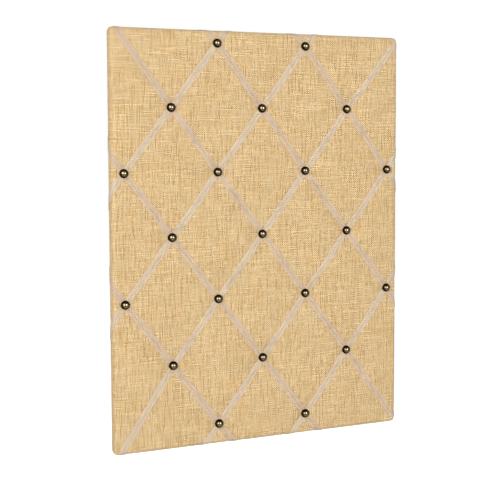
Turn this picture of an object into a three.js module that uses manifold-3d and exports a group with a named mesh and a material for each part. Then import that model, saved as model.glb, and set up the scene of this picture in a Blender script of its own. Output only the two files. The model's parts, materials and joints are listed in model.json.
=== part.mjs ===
// French memo board: linen over foam on a fibreboard panel, crossed by ribbons that studs hold down.
// Millimetres, +Z up. The front faces -Y, and y = 0 is the wall that the rubber bumpers touch.

import * as THREE from 'three';
import { mergeVertices } from 'three/addons/utils/BufferGeometryUtils.js';
import Module from 'manifold-3d';

const wasm = await Module();
wasm.setup();

// Panel and padding
const PANEL_WIDTH = 450;
const PANEL_HEIGHT = 600;
const BOARD_THICKNESS = 9;
const FOAM_THICKNESS = 8;
const COVER_THICKNESS = 0.8;
const EDGE_RADIUS = 7;
const HEM_WIDTH = 35;
const SEAT_GAP = 0.3;

// Lattice: studs sit on every second point of a grid, counted from the upper left corner
const LATTICE_STEPS = 6;
const SIDE_MARGIN = 18;
const TOP_MARGIN = 18;
const BOTTOM_MARGIN = 30;
const CORNER_RIBBON_INSET = 12;

// Tufts: the dimple under each stud, the channel under each ribbon, and the pull on a nearby edge
const TUFT_DEPTH = 3.2;
const TUFT_RADIUS = 20;
const TUFT_FLOOR_MARGIN = 1;
const SHOULDER_DEPTH = 0.5;
const CHANNEL_DEPTH = 0.5;
const EDGE_PULL_RATIO = 0.6;

// Ribbons
const RIBBON_WIDTH = 10;
const RIBBON_THICKNESS = 0.6;
const RIBBON_TAIL = 22;

// Stud nails
const STUD_HEAD_DIAMETER = 13;
const STUD_HEAD_HEIGHT = 5;
const STUD_RIM_WIDTH = 1.2;
const STUD_SHANK_DIAMETER = 1.8;
const STUD_SHANK_LENGTH = 13;
const STUD_POINT_LENGTH = 3.5;

// Dust cover on the back: it steps up from the board over the hem and the ribbon tails
const DUST_COVER_THICKNESS = 0.5;
const DUST_COVER_INSET = 12;
const DUST_STEP_CLEARANCE = 3;
const DUST_STEP_LENGTH = 6;

// Hangers
const HANGER_FROM_SIDE = 75;
const HANGER_FROM_TOP = 75;
const STRAP_WIDTH = 14;
const STRAP_LENGTH = 32;
const STRAP_THICKNESS = 0.8;
const STRAP_BEND_DROP = 1.6;
const STRAP_LOOP_EXIT_ANGLE = 50;
const STRAP_HOLE_FROM_END = 12;
const STRAP_END_RADIUS = 5;
const RING_WIRE_DIAMETER = 2.4;
const RING_WIDTH = 22;
const RING_STRAIGHT = 4;
const RING_CORNER = 2.5;
const RING_BUTT_GAP = 0.5;
const SCREW_DIAMETER = 3;
const SCREW_LENGTH = 9;
const SCREW_POINT_LENGTH = 3;
const SCREW_HEAD_DIAMETER = 6.5;
const SCREW_HEAD_HEIGHT = 2;

// Rubber bumpers
const BUMPER_DIAMETER = 12;
const BUMPER_HEIGHT = 5;
const BUMPER_BEVEL = 1;
const BUMPER_FROM_CORNER = 24;

// Facets
const CORNER_STEPS = 2;
const EDGE_STEPS = 2;
const TURNED_SIDES = 16;
const STUD_SIDES = 12;
const STUD_DOME_STEPS = 4;
const HOLE_SIDES = 6;
const WIRE_SIDES = 6;
const RING_STEPS = 26;
const RING_BOW_STEPS = 8;
const LOOP_SEGMENTS = 5;
const SEAT_SAMPLES = 48;
const MERGE_DISTANCE = 1e-4;

// Depth of each layer, from the wall towards the front
const dustRimBack = -BUMPER_HEIGHT;
const dustRimFront = dustRimBack - DUST_COVER_THICKNESS;
const hemBack = dustRimFront - SEAT_GAP - RIBBON_THICKNESS - SEAT_GAP;
const hemFront = hemBack - COVER_THICKNESS;
const boardBack = hemFront - SEAT_GAP;
const boardFront = boardBack - BOARD_THICKNESS;
const foamBack = boardFront - SEAT_GAP;
const coverFront = foamBack - FOAM_THICKNESS - SEAT_GAP - COVER_THICKNESS;
const dustMiddleFront = boardBack + SEAT_GAP;
const dustMiddleBack = dustMiddleFront + DUST_COVER_THICKNESS;

// The rounded front edge ends where the board begins
const edgeRadius = Math.min(EDGE_RADIUS, boardFront - coverFront - SEAT_GAP);
const edgeCentre = coverFront + edgeRadius;
const flatHalfWidth = PANEL_WIDTH / 2 - edgeRadius;
const flatHalfHeight = PANEL_HEIGHT / 2 - edgeRadius;

const pitchX = (PANEL_WIDTH - 2 * SIDE_MARGIN) / LATTICE_STEPS;
const pitchZ = (PANEL_HEIGHT - TOP_MARGIN - BOTTOM_MARGIN) / LATTICE_STEPS;
const lastLine = LATTICE_STEPS + 1;

const studRadius = STUD_HEAD_DIAMETER / 2;
const nailHoleRadius = STUD_SHANK_DIAMETER / 2 + SEAT_GAP;
const screwHoleRadius = SCREW_DIAMETER / 2 + SEAT_GAP;

// Eight directions round a stud, counter-clockwise from +X: the odd ones run along the ribbons
const ribbonAngle = Math.atan2(pitchZ, pitchX);
const DIRECTIONS = [
  0, ribbonAngle, Math.PI / 2, Math.PI - ribbonAngle,
  Math.PI, Math.PI + ribbonAngle, 1.5 * Math.PI, 2 * Math.PI - ribbonAngle,
].map((angle) => new THREE.Vector2(Math.cos(angle), Math.sin(angle)));

// Small helpers. A plan point is a Vector2 that holds x and z

function inSpace(plan, y) {
  return new THREE.Vector3(plan.x, y, plan.y);
}

function stepFrom(plan, direction, distance) {
  return plan.clone().addScaledVector(direction, distance);
}

function isAlongRibbon(k) {
  return k % 2 === 1;
}

function isLevel(k) {
  return k % 4 === 0;
}

function turnedAround(k) {
  return (k + DIRECTIONS.length) % DIRECTIONS.length;
}

function flipped(faces) {
  return faces.map(([a, b, c]) => [a, c, b]);
}

function geometryFromFaces(faces) {
  const positions = faces.flatMap((face) => face.flatMap((corner) => [corner.x, corner.y, corner.z]));
  const loose = new THREE.BufferGeometry();
  loose.setAttribute('position', new THREE.Float32BufferAttribute(positions, 3));
  return withoutCollapsedFaces(mergeVertices(loose, MERGE_DISTANCE));
}

function withoutCollapsedFaces(geometry) {
  const corners = geometry.getIndex().array;
  const kept = [];
  for (let i = 0; i < corners.length; i += 3) {
    const [a, b, c] = corners.slice(i, i + 3);
    if (a !== b && b !== c && c !== a) kept.push(a, b, c);
  }
  geometry.setIndex(kept);
  return geometry;
}

function bareGeometry(geometry) {
  const bare = geometry.clone();
  bare.deleteAttribute('normal');
  bare.deleteAttribute('uv');
  return withoutCollapsedFaces(mergeVertices(bare, MERGE_DISTANCE));
}

function solidOf(geometry) {
  const bare = bareGeometry(geometry);
  return new wasm.Manifold(new wasm.Mesh({
    numProp: 3,
    vertProperties: new Float32Array(bare.getAttribute('position').array),
    triVerts: new Uint32Array(bare.getIndex().array),
  }));
}

function cutBy(geometry, tools) {
  let solid = solidOf(geometry);
  for (const tool of tools) {
    solid = solid.subtract(solidOf(tool));
  }
  const mesh = solid.getMesh();
  const result = new THREE.BufferGeometry();
  result.setAttribute('position', new THREE.BufferAttribute(mesh.vertProperties, 3));
  result.setIndex(new THREE.BufferAttribute(mesh.triVerts, 1));
  return result;
}

// A prism along Y that holds a circle of the given radius
function holePrism(plan, radius, fromY, toY) {
  const outer = radius / Math.cos(Math.PI / HOLE_SIDES);
  const prism = new THREE.CylinderGeometry(outer, outer, toY - fromY, HOLE_SIDES);
  return prism.translate(plan.x, (fromY + toY) / 2, plan.y);
}

// Joins two closed loops that run the same way. Each loop point has a place t along the loop, from 0 to 1
function stitch(from, to) {
  const faces = [];
  const placeOf = (loop, i) => loop[i % loop.length].t + Math.floor(i / loop.length);
  const pointOf = (loop, i) => loop[i % loop.length].point;
  let i = 0;
  let j = 0;
  while (i < from.length || j < to.length) {
    const nextFrom = i < from.length ? placeOf(from, i + 1) : Infinity;
    const nextTo = j < to.length ? placeOf(to, j + 1) : Infinity;
    if (nextFrom <= nextTo) {
      faces.push([pointOf(from, i), pointOf(to, j), pointOf(from, i + 1)]);
      i += 1;
    } else {
      faces.push([pointOf(from, i), pointOf(to, j), pointOf(to, j + 1)]);
      j += 1;
    }
  }
  return faces;
}

function stitchAll(loops) {
  return loops.slice(1).flatMap((loop, i) => stitch(loops[i], loop));
}

// Fills a plan outline with triangles that face the front
function filled(contour, holes) {
  const points = [...contour, ...holes.flat()];
  const flat = (list) => list.map((point) => new THREE.Vector2(point.x, point.z));
  const triangles = THREE.ShapeUtils.triangulateShape(flat(contour), holes.map(flat));
  return triangles.map((triangle) => {
    const [a, b, c] = triangle.map((i) => points[i]);
    const turn = (b.x - a.x) * (c.z - a.z) - (b.z - a.z) * (c.x - a.x);
    return turn > 0 ? [a, b, c] : [a, c, b];
  });
}

// Layout of the tufted front, in plan

function latticePoint(column, row) {
  const x = -PANEL_WIDTH / 2 + SIDE_MARGIN + (column - 1) * pitchX;
  const z = PANEL_HEIGHT / 2 - TOP_MARGIN - (row - 1) * pitchZ;
  return new THREE.Vector2(x, z);
}

function hasStud(column, row) {
  const edgeColumn = column === 1 || column === lastLine;
  const edgeRow = row === 1 || row === lastLine;
  return (column + row) % 2 === 0 && !(edgeColumn && edgeRow);
}

// Distance from a point to the edge of the flat front along a direction
function reachToEdge(plan, direction) {
  const acrossX = (Math.sign(direction.x) * flatHalfWidth - plan.x) / direction.x;
  const acrossZ = (Math.sign(direction.y) * flatHalfHeight - plan.y) / direction.y;
  const straight = 1e-9;
  return Math.min(
    Math.abs(direction.x) > straight ? acrossX : Infinity,
    Math.abs(direction.y) > straight ? acrossZ : Infinity,
  );
}

// How far a stud's own field of cloth reaches: to the next plain lattice point, or half way to the next stud
function fieldReach(k) {
  if (isAlongRibbon(k)) return Math.hypot(pitchX, pitchZ) / 2;
  return isLevel(k) ? pitchX : pitchZ;
}

// The floor of a dimple is a square that stands on its corner and holds the stud's head
const floorCorner = Math.SQRT2 * (studRadius + TUFT_FLOOR_MARGIN);

function floorReach(k) {
  return floorCorner / (Math.abs(DIRECTIONS[k].x) + Math.abs(DIRECTIONS[k].y));
}

// Depth of the cloth below its crown, at a distance from a stud
function dipAt(k, distance) {
  const channel = isAlongRibbon(k) ? CHANNEL_DEPTH : 0;
  const shoulder = SHOULDER_DEPTH + channel;
  if (distance <= floorReach(k)) return TUFT_DEPTH;
  if (distance <= TUFT_RADIUS) {
    const share = (distance - floorReach(k)) / (TUFT_RADIUS - floorReach(k));
    return THREE.MathUtils.lerp(TUFT_DEPTH, shoulder, share);
  }
  const share = (distance - TUFT_RADIUS) / (fieldReach(k) - TUFT_RADIUS);
  return THREE.MathUtils.lerp(shoulder, channel, share);
}

function makeTuft(column, row) {
  const centre = latticePoint(column, row);
  const edges = DIRECTIONS.map((direction) => reachToEdge(centre, direction));
  const pointAt = (k, wanted) => {
    const reach = Math.min(wanted, fieldReach(k), edges[k]);
    const plan = stepFrom(centre, DIRECTIONS[k], reach);
    return { t: k / DIRECTIONS.length, plan, dip: dipAt(k, reach), atEdge: reach === edges[k] };
  };
  const everyDirection = DIRECTIONS.map((_, k) => k);
  const straightOnly = everyDirection.filter((k) => !isAlongRibbon(k));
  return {
    column,
    row,
    centre,
    hole: straightOnly.map((k) => pointAt(k, Math.SQRT2 * nailHoleRadius)),
    floor: straightOnly.map((k) => pointAt(k, floorCorner)),
    shoulder: everyDirection.map((k) => pointAt(k, TUFT_RADIUS)),
    field: everyDirection.map((k) => pointAt(k, Infinity)),
  };
}

const tufts = [];
for (let row = 1; row <= lastLine; row += 1) {
  for (let column = 1; column <= lastLine; column += 1) {
    if (hasStud(column, row)) tufts.push(makeTuft(column, row));
  }
}

// Four sides, counter-clockwise from the right, each with the tufts beside its edge in that order
const sides = [
  { normal: new THREE.Vector2(1, 0), tufts: tufts.filter((tuft) => tuft.column === lastLine).reverse() },
  { normal: new THREE.Vector2(0, 1), tufts: tufts.filter((tuft) => tuft.row === 1).reverse() },
  { normal: new THREE.Vector2(-1, 0), tufts: tufts.filter((tuft) => tuft.column === 1) },
  { normal: new THREE.Vector2(0, -1), tufts: tufts.filter((tuft) => tuft.row === lastLine) },
];
for (const side of sides) {
  side.run = new THREE.Vector2(-side.normal.y, side.normal.x);
  side.flatHalf = Math.abs(side.normal.x) * flatHalfWidth + Math.abs(side.normal.y) * flatHalfHeight;
  side.runHalf = Math.abs(side.run.x) * flatHalfWidth + Math.abs(side.run.y) * flatHalfHeight;
}
const [RIGHT, TOP, , BOTTOM] = sides;

// The sides on which the four corner ribbons leave the front, counter-clockwise from the upper right corner
const cornerRibbonSides = [RIGHT, TOP, BOTTOM, RIGHT];

function onSide(side, along) {
  return stepFrom(side.normal.clone().multiplyScalar(side.flatHalf), side.run, along);
}

// Infill between the fields of neighbouring edge tufts, and the outline of the flat front
const infills = [];
const outline = [];
sides.forEach((side, q) => {
  const [before, straight, after] = [2 * q - 1, 2 * q, 2 * q + 1].map(turnedAround);
  const ahead = turnedAround(2 * q + 2);
  side.edge = [];
  side.tufts.forEach((tuft, i) => {
    if (i > 0) {
      const last = side.tufts[i - 1];
      const between = last.field[ahead];
      const abreast = { plan: onSide(side, between.plan.dot(side.run)), dip: 0 };
      side.edge.push(abreast);
      infills.push([last.field[after], abreast, tuft.field[before], between]);
    }
    side.edge.push(tuft.field[before], tuft.field[straight], tuft.field[after]);
  });
  const nextSide = sides[(q + 1) % sides.length];
  const corner = { plan: onSide(side, side.runHalf), dip: 0 };
  const lastTuft = side.tufts[side.tufts.length - 1];
  const nextTuft = nextSide.tufts[0];
  const cornerLeft = nextTuft.field[straight];
  const cornerRight = lastTuft.field[ahead];
  const underRibbon = {
    plan: cornerLeft.plan.clone().lerp(cornerRight.plan, 0.5),
    dip: CHANNEL_DEPTH,
  };
  infills.push([lastTuft.field[after], corner, nextTuft.field[after], cornerLeft, underRibbon, cornerRight]);
  outline.push(...side.edge.map((point) => ({ ...point, normal: side.normal, isCorner: false })));
  for (let step = 0; step <= CORNER_STEPS; step += 1) {
    const angle = (step / CORNER_STEPS) * (Math.PI / 2);
    const normal = side.normal.clone().rotateAround(new THREE.Vector2(), angle);
    outline.push({ ...corner, normal, isCorner: true });
  }
});

// Places along the outline, as shares of its length
const outerPlans = outline.map((point) => stepFrom(point.plan, point.normal, edgeRadius));
const outlineLengths = outerPlans.map((plan, i) => plan.distanceTo(outerPlans[(i + 1) % outerPlans.length]));
const outlineLength = outlineLengths.reduce((sum, length) => sum + length, 0);
let travelled = 0;
outline.forEach((point, i) => {
  point.t = travelled / outlineLength;
  travelled += outlineLengths[i];
});
const outlineCorners = outline.filter((point) => point.isCorner);

// Loops round the panel. The inset is the distance inwards from the outer face of the cloth

function edgeLoop(angle, inset) {
  return outline.map(({ t, plan, normal, dip }) => {
    const out = (edgeRadius - inset - EDGE_PULL_RATIO * dip) * Math.sin(angle);
    const y = edgeCentre - (edgeRadius - inset - dip) * Math.cos(angle);
    return { t, point: inSpace(stepFrom(plan, normal, out), y) };
  });
}

function roundedEdgeLoops(inset) {
  const loops = [];
  for (let step = 0; step <= EDGE_STEPS; step += 1) {
    loops.push(edgeLoop((step / EDGE_STEPS) * (Math.PI / 2), inset));
  }
  return loops;
}

function sideLoop(points, y, inset) {
  return points.map(({ t, plan, normal }) => ({
    t,
    point: inSpace(stepFrom(plan, normal, edgeRadius - inset), y),
  }));
}

function rectangleLoop(inset, y) {
  const x = PANEL_WIDTH / 2 - inset;
  const z = PANEL_HEIGHT / 2 - inset;
  return outlineCorners.map(({ t, plan }) => ({
    t,
    point: new THREE.Vector3(Math.sign(plan.x) * x, y, Math.sign(plan.y) * z),
  }));
}

// The tufted front sheet at a depth below the outer face of the cloth

function raised(points, inset) {
  return points.map(({ t, plan, dip }) => ({ t, point: inSpace(plan, coverFront + inset + dip) }));
}

function frontSheet(inset) {
  const fields = tufts.flatMap((tuft) => {
    const rings = [tuft.hole, tuft.floor, tuft.shoulder, tuft.field];
    return stitchAll(rings.map((ring) => raised(ring, inset)));
  });
  const between = infills.flatMap((infill) => {
    const contour = raised(infill, inset).map(({ point }) => point);
    return filled(contour, []);
  });
  return [...fields, ...between];
}

function holeLoops(inset) {
  return tufts.map((tuft) => raised(tuft.hole, inset));
}

function makeCover() {
  const outerHoles = holeLoops(0);
  const innerHoles = holeLoops(COVER_THICKNESS);
  const wrap = stitchAll([
    ...roundedEdgeLoops(0),
    sideLoop(outline, boardFront, 0),
    sideLoop(outlineCorners, hemBack, 0),
    rectangleLoop(HEM_WIDTH, hemBack),
    rectangleLoop(HEM_WIDTH, hemFront),
    sideLoop(outlineCorners, hemFront, COVER_THICKNESS),
    sideLoop(outline, boardFront, COVER_THICKNESS),
    ...roundedEdgeLoops(COVER_THICKNESS).reverse(),
  ]);
  return geometryFromFaces([
    ...frontSheet(0),
    ...flipped(frontSheet(COVER_THICKNESS)),
    ...wrap,
    ...outerHoles.flatMap((hole, i) => stitch(innerHoles[i], hole)),
  ]);
}

function makeFoam() {
  const inset = COVER_THICKNESS + SEAT_GAP;
  const edgeLoops = roundedEdgeLoops(inset);
  const atBack = (loop) => loop.map(({ t, point }) => ({ t, point: point.clone().setY(foamBack) }));
  const backLoop = atBack(edgeLoops[EDGE_STEPS]);
  const frontHoles = holeLoops(inset);
  const backHoles = frontHoles.map(atBack);
  const pointsOf = (loop) => loop.map(({ point }) => point);
  const back = filled(distinct(pointsOf(backLoop)), backHoles.map(pointsOf));
  return geometryFromFaces([
    ...frontSheet(inset),
    ...stitchAll([...edgeLoops, backLoop]),
    ...flipped(back),
    ...frontHoles.flatMap((hole, i) => stitch(backHoles[i], hole)),
  ]);
}

function distinct(points) {
  return points.filter((point, i) => point.distanceTo(points[(i + 1) % points.length]) > MERGE_DISTANCE);
}

function makeBoard(cuts) {
  const inset = COVER_THICKNESS + SEAT_GAP;
  const front = sideLoop(outlineCorners, boardFront, inset);
  const back = sideLoop(outlineCorners, boardBack, inset);
  const pointsOf = (loop) => loop.map(({ point }) => point);
  const plain = geometryFromFaces([
    ...filled(pointsOf(front), []),
    ...stitch(front, back),
    ...flipped(filled(pointsOf(back), [])),
  ]);
  return cutBy(plain, cuts);
}

// Ribbons

// The frontmost y of the given faces at a plan point
function frontmost(faces, plan) {
  const tolerance = 1e-6;
  let nearest = Infinity;
  for (const [a, b, c] of faces) {
    const area = (b.x - a.x) * (c.z - a.z) - (b.z - a.z) * (c.x - a.x);
    if (Math.abs(area) < tolerance) continue;
    const u = ((plan.x - a.x) * (c.z - a.z) - (plan.y - a.z) * (c.x - a.x)) / area;
    const v = ((b.x - a.x) * (plan.y - a.z) - (b.z - a.z) * (plan.x - a.x)) / area;
    if (u < -tolerance || v < -tolerance || u + v > 1 + tolerance) continue;
    nearest = Math.min(nearest, a.y + u * (b.y - a.y) + v * (c.y - a.y));
  }
  return nearest;
}

// Half the length of a ribbon that its crossing ribbon covers
function crossingReach() {
  const turn = Math.PI - 2 * ribbonAngle;
  const half = RIBBON_WIDTH / 2;
  return half / Math.abs(Math.sin(turn)) + half / Math.abs(Math.tan(turn));
}

// A slice across the ribbon on the front: its left and right plan points, with the y of its underside
function sliceAcross(plan, direction) {
  const left = new THREE.Vector2(-direction.y, direction.x);
  return {
    left: stepFrom(plan, left, RIBBON_WIDTH / 2),
    right: stepFrom(plan, left, -RIBBON_WIDTH / 2),
    y: Infinity,
  };
}

// Distances from a stud at which a ribbon bends: clear of the crossing, and over the shoulder of the dimple
const clearReach = crossingReach() + SEAT_GAP;
const shoulderReach = Math.max(TUFT_RADIUS - RIBBON_WIDTH / 4, clearReach + SEAT_GAP);

// Slices from one stud to the next, with one half way
function slicesBetween(start, end) {
  const direction = end.clone().sub(start).normalize();
  const length = start.distanceTo(end);
  const places = [clearReach, shoulderReach, length / 2, length - shoulderReach, length - clearReach];
  return places.map((place) => sliceAcross(stepFrom(start, direction, place), direction));
}

// Slices from a ribbon's last stud towards the edge, as many as the way there has room for
function slicesToEdge(tuft, { side, along, direction }) {
  const length = tuft.centre.distanceTo(onSide(side, along));
  const slant = (RIBBON_WIDTH / 2) * Math.abs(direction.dot(side.run) / direction.dot(side.normal));
  const further = [shoulderReach, Math.hypot(pitchX, pitchZ) / 2];
  const places = [clearReach, ...further.filter((place) => place < length - slant - SEAT_GAP)];
  return places.map((place) => sliceAcross(stepFrom(tuft.centre, direction, place), direction));
}

// Lays the slices on what lies under them: none of the tape comes nearer than the seat gap
function settle(slices, faces) {
  const across = [0, 0.25, 0.5, 0.75, 1];
  const lengthways = [0.1, 0.3, 0.5, 0.7, 0.9];
  const seatAt = (left, right, share) => frontmost(faces, left.clone().lerp(right, share)) - SEAT_GAP;
  for (const slice of slices) {
    const seats = across.map((share) => seatAt(slice.left, slice.right, share));
    slice.y = Math.min(slice.y, ...seats);
  }
  for (let i = 1; i < slices.length; i += 1) {
    const start = slices[i - 1];
    const end = slices[i];
    for (const share of lengthways) {
      const left = start.left.clone().lerp(end.left, share);
      const right = start.right.clone().lerp(end.right, share);
      const seat = Math.min(...across.map((place) => seatAt(left, right, place)));
      const missing = THREE.MathUtils.lerp(start.y, end.y, share) - seat;
      if (missing <= 0) continue;
      if (share < 0.5) start.y -= missing / (1 - share);
      else end.y -= missing / share;
    }
  }
}

// Where a ribbon leaves the front: on the edge beside its last stud, or beside the panel's corner
function ribbonEnd(tuft, k) {
  const corner = (k - 1) / 2;
  const edgePoint = tuft.field[k];
  if (!edgePoint.atEdge) {
    const side = cornerRibbonSides[corner];
    const towardsCorner = Math.sign(DIRECTIONS[k].dot(side.run));
    const along = towardsCorner * (side.runHalf + edgeRadius - CORNER_RIBBON_INSET);
    return { side, along, direction: onSide(side, along).sub(tuft.centre).normalize(), turnsSquare: true };
  }
  const touched = (side) => side.flatHalf - edgePoint.plan.dot(side.normal) < MERGE_DISTANCE;
  const side = [sides[corner], sides[(corner + 1) % sides.length]].find(touched);
  return { side, along: edgePoint.plan.dot(side.run), direction: DIRECTIONS[k], turnsSquare: false };
}

// The least dip of the cloth along a stretch of an edge
function leastDip(side, from, to) {
  const knots = [
    { along: -side.runHalf, dip: 0 },
    ...side.edge.map(({ plan, dip }) => ({ along: plan.dot(side.run), dip })),
    { along: side.runHalf, dip: 0 },
  ];
  const dipAlong = (along) => {
    const next = Math.max(1, knots.findIndex((knot) => knot.along >= along));
    const share = (along - knots[next - 1].along) / (knots[next].along - knots[next - 1].along);
    return THREE.MathUtils.lerp(knots[next - 1].dip, knots[next].dip, share);
  };
  const inside = knots.filter(({ along }) => along > from && along < to);
  return Math.min(dipAlong(from), dipAlong(to), ...inside.map(({ dip }) => dip));
}

// The wrapped end of a ribbon: over the rounded edge, down the side and in over the hem
function wrapSlices({ side, along, direction, turnsSquare }) {
  const outShare = direction.dot(side.normal);
  const drift = turnsSquare ? 0 : direction.dot(side.run) / outShare;
  const edgeHalf = RIBBON_WIDTH / 2 / outShare;
  const wrapHalf = turnsSquare ? RIBBON_WIDTH / 2 : edgeHalf;
  const edgeLength = edgeRadius * (Math.PI / 2);
  const strip = edgeHalf + Math.abs(drift) * edgeLength;
  const dip = leastDip(side, along - strip, along + strip);
  const sliceAt = (travel, half, placeOf) => {
    const middle = along + drift * travel;
    const cornerAt = (offset, lift) => {
      const { out, y } = placeOf(lift);
      return inSpace(stepFrom(onSide(side, middle + offset), side.normal, out), y);
    };
    return {
      underLeft: cornerAt(half, SEAT_GAP),
      underRight: cornerAt(-half, SEAT_GAP),
      overRight: cornerAt(-half, SEAT_GAP + RIBBON_THICKNESS),
      overLeft: cornerAt(half, SEAT_GAP + RIBBON_THICKNESS),
    };
  };
  const slices = [];
  for (let step = 1; step <= EDGE_STEPS; step += 1) {
    const angle = (step / EDGE_STEPS) * (Math.PI / 2);
    slices.push(sliceAt(edgeRadius * angle, wrapHalf, (lift) => ({
      out: (edgeRadius + lift - EDGE_PULL_RATIO * dip) * Math.sin(angle),
      y: edgeCentre - (edgeRadius + lift - dip) * Math.cos(angle),
    })));
  }
  const toBoard = edgeLength + boardFront - edgeCentre;
  const toHem = toBoard + hemBack - boardFront;
  slices.push(sliceAt(toBoard, wrapHalf, (lift) => ({ out: edgeRadius + lift, y: boardFront })));
  slices.push(sliceAt(toHem, wrapHalf, (lift) => ({ out: edgeRadius + lift, y: hemBack + lift })));
  slices.push(sliceAt(toHem + RIBBON_TAIL, wrapHalf, (lift) => ({
    out: edgeRadius - RIBBON_TAIL,
    y: hemBack + lift,
  })));
  const edgeSlice = {
    left: onSide(side, along + edgeHalf),
    right: onSide(side, along - edgeHalf),
    y: coverFront + dip - SEAT_GAP,
  };
  return { edgeSlice, slices };
}

function sliceInSpace({ left, right, y }) {
  return {
    underLeft: inSpace(left, y),
    underRight: inSpace(right, y),
    overRight: inSpace(right, y - RIBBON_THICKNESS),
    overLeft: inSpace(left, y - RIBBON_THICKNESS),
  };
}

function reversedSlice({ underLeft, underRight, overRight, overLeft }) {
  return { underLeft: underRight, underRight: underLeft, overRight: overLeft, overLeft: overRight };
}

function quad(a, b, c, d) {
  return [[a, b, c], [a, c, d]];
}

// Lofts the slices into a closed tape, and keeps the faces of its upper side for what lies on it
function loftTape(slices) {
  const over = [];
  const rest = [];
  for (let i = 1; i < slices.length; i += 1) {
    const s = slices[i - 1];
    const e = slices[i];
    over.push(...quad(s.overLeft, s.overRight, e.overRight, e.overLeft));
    rest.push(...quad(s.underRight, s.underLeft, e.underLeft, e.underRight));
    rest.push(...quad(s.underLeft, s.overLeft, e.overLeft, e.underLeft));
    rest.push(...quad(s.overRight, s.underRight, e.underRight, e.overRight));
  }
  const first = slices[0];
  const last = slices[slices.length - 1];
  rest.push(...quad(first.underLeft, first.underRight, first.overRight, first.overLeft));
  rest.push(...quad(last.underRight, last.underLeft, last.overLeft, last.overRight));
  return { geometry: geometryFromFaces([...over, ...rest]), over };
}

function reversedFrontSlice({ left, right, y }) {
  return { left: right, right: left, y };
}

// A ribbon along a row of tufts, laid on the faces given, with a hole for each nail
function makeRibbon(row, startDirection, endDirection, faces) {
  const firstTuft = row[0];
  const lastTuft = row[row.length - 1];
  const startEnd = ribbonEnd(firstTuft, startDirection);
  const lastEnd = ribbonEnd(lastTuft, endDirection);
  const start = wrapSlices(startEnd);
  const end = wrapSlices(lastEnd);
  const outFromFirst = [...slicesToEdge(firstTuft, startEnd), start.edgeSlice];
  const front = outFromFirst.map(reversedFrontSlice).reverse();
  for (let i = 1; i < row.length; i += 1) {
    front.push(...slicesBetween(row[i - 1].centre, row[i].centre));
  }
  front.push(...slicesToEdge(lastTuft, lastEnd), end.edgeSlice);
  settle(front, faces);
  const tape = loftTape([
    ...start.slices.map(reversedSlice).reverse(),
    ...front.map(sliceInSpace),
    ...end.slices,
  ]);
  const holes = row.map(({ centre }) => (
    holePrism(centre, nailHoleRadius, coverFront - TUFT_RADIUS, edgeCentre)
  ));
  return { geometry: cutBy(tape.geometry, holes), over: tape.over };
}

// Rows of tufts that share a ribbon, each from left to right
function ribbonRows(keyOf) {
  const rows = new Map();
  const leftToRight = [...tufts].sort((a, b) => a.column - b.column);
  for (const tuft of leftToRight) {
    const key = keyOf(tuft);
    rows.set(key, [...(rows.get(key) ?? []), tuft]);
  }
  return [...rows.entries()].sort((a, b) => a[0] - b[0]).map(([, row]) => row);
}

// Turned pieces. A profile point is a radius and a y, with +Y towards the wall

function turned(profile, turns) {
  const geometry = new THREE.LatheGeometry(profile.map(([r, y]) => new THREE.Vector2(r, y)), turns);
  return bareGeometry(geometry);
}

// The seat of a stud's rim: clear of everything under its head
function studSeat(tuft, faces) {
  const seats = [];
  for (const share of [0, 0.5, 1]) {
    for (let step = 0; step < SEAT_SAMPLES; step += 1) {
      const angle = (step / SEAT_SAMPLES) * 2 * Math.PI;
      const direction = new THREE.Vector2(Math.cos(angle), Math.sin(angle));
      seats.push(frontmost(faces, stepFrom(tuft.centre, direction, share * studRadius)));
    }
  }
  return Math.min(...seats) - SEAT_GAP;
}

function makeStud() {
  const shank = STUD_SHANK_DIAMETER / 2;
  const dome = [];
  for (let step = 0; step < STUD_DOME_STEPS; step += 1) {
    const angle = (step / STUD_DOME_STEPS) * (Math.PI / 2);
    dome.push([studRadius * Math.sin(angle), -STUD_HEAD_HEIGHT * Math.cos(angle)]);
  }
  return turned([
    ...dome,
    [studRadius, 0],
    [studRadius - STUD_RIM_WIDTH, 0],
    [shank, -STUD_HEAD_HEIGHT + STUD_RIM_WIDTH],
    [shank, STUD_SHANK_LENGTH - STUD_POINT_LENGTH],
    [0, STUD_SHANK_LENGTH],
  ], STUD_SIDES);
}

function makeScrew() {
  const head = SCREW_HEAD_DIAMETER / 2;
  const shank = SCREW_DIAMETER / 2;
  return turned([
    [0, -SCREW_LENGTH],
    [shank, -SCREW_LENGTH + SCREW_POINT_LENGTH],
    [shank, 0],
    [head, 0],
    [head, SCREW_HEAD_HEIGHT / 2],
    [head / 2, SCREW_HEAD_HEIGHT],
    [0, SCREW_HEAD_HEIGHT],
  ], TURNED_SIDES);
}

function makeBumper() {
  const radius = BUMPER_DIAMETER / 2;
  return turned([
    [0, -BUMPER_HEIGHT],
    [radius, -BUMPER_HEIGHT],
    [radius, -BUMPER_BEVEL],
    [radius - BUMPER_BEVEL, 0],
    [0, 0],
  ], TURNED_SIDES);
}

// Back of the board

function makeDustCover(screwPlans) {
  const stepTop = HEM_WIDTH + DUST_STEP_CLEARANCE;
  const stepFoot = stepTop + DUST_STEP_LENGTH;
  const loopsAt = (rim, middle) => [
    rectangleLoop(DUST_COVER_INSET, rim),
    rectangleLoop(stepTop, rim),
    rectangleLoop(stepFoot, middle),
  ];
  const back = loopsAt(dustRimBack, dustMiddleBack);
  const front = loopsAt(dustRimFront, dustMiddleFront);
  const middleOf = (loops) => filled(distinct(loops[2].map(({ point }) => point)), []);
  const sheet = geometryFromFaces([
    ...stitchAll([...front].reverse()),
    ...stitch(front[0], back[0]),
    ...stitchAll(back),
    ...middleOf(front),
    ...flipped(middleOf(back)),
  ]);
  const holes = screwPlans.map((plan) => holePrism(plan, screwHoleRadius, boardBack, dustRimBack));
  return cutBy(sheet, holes);
}

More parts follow.
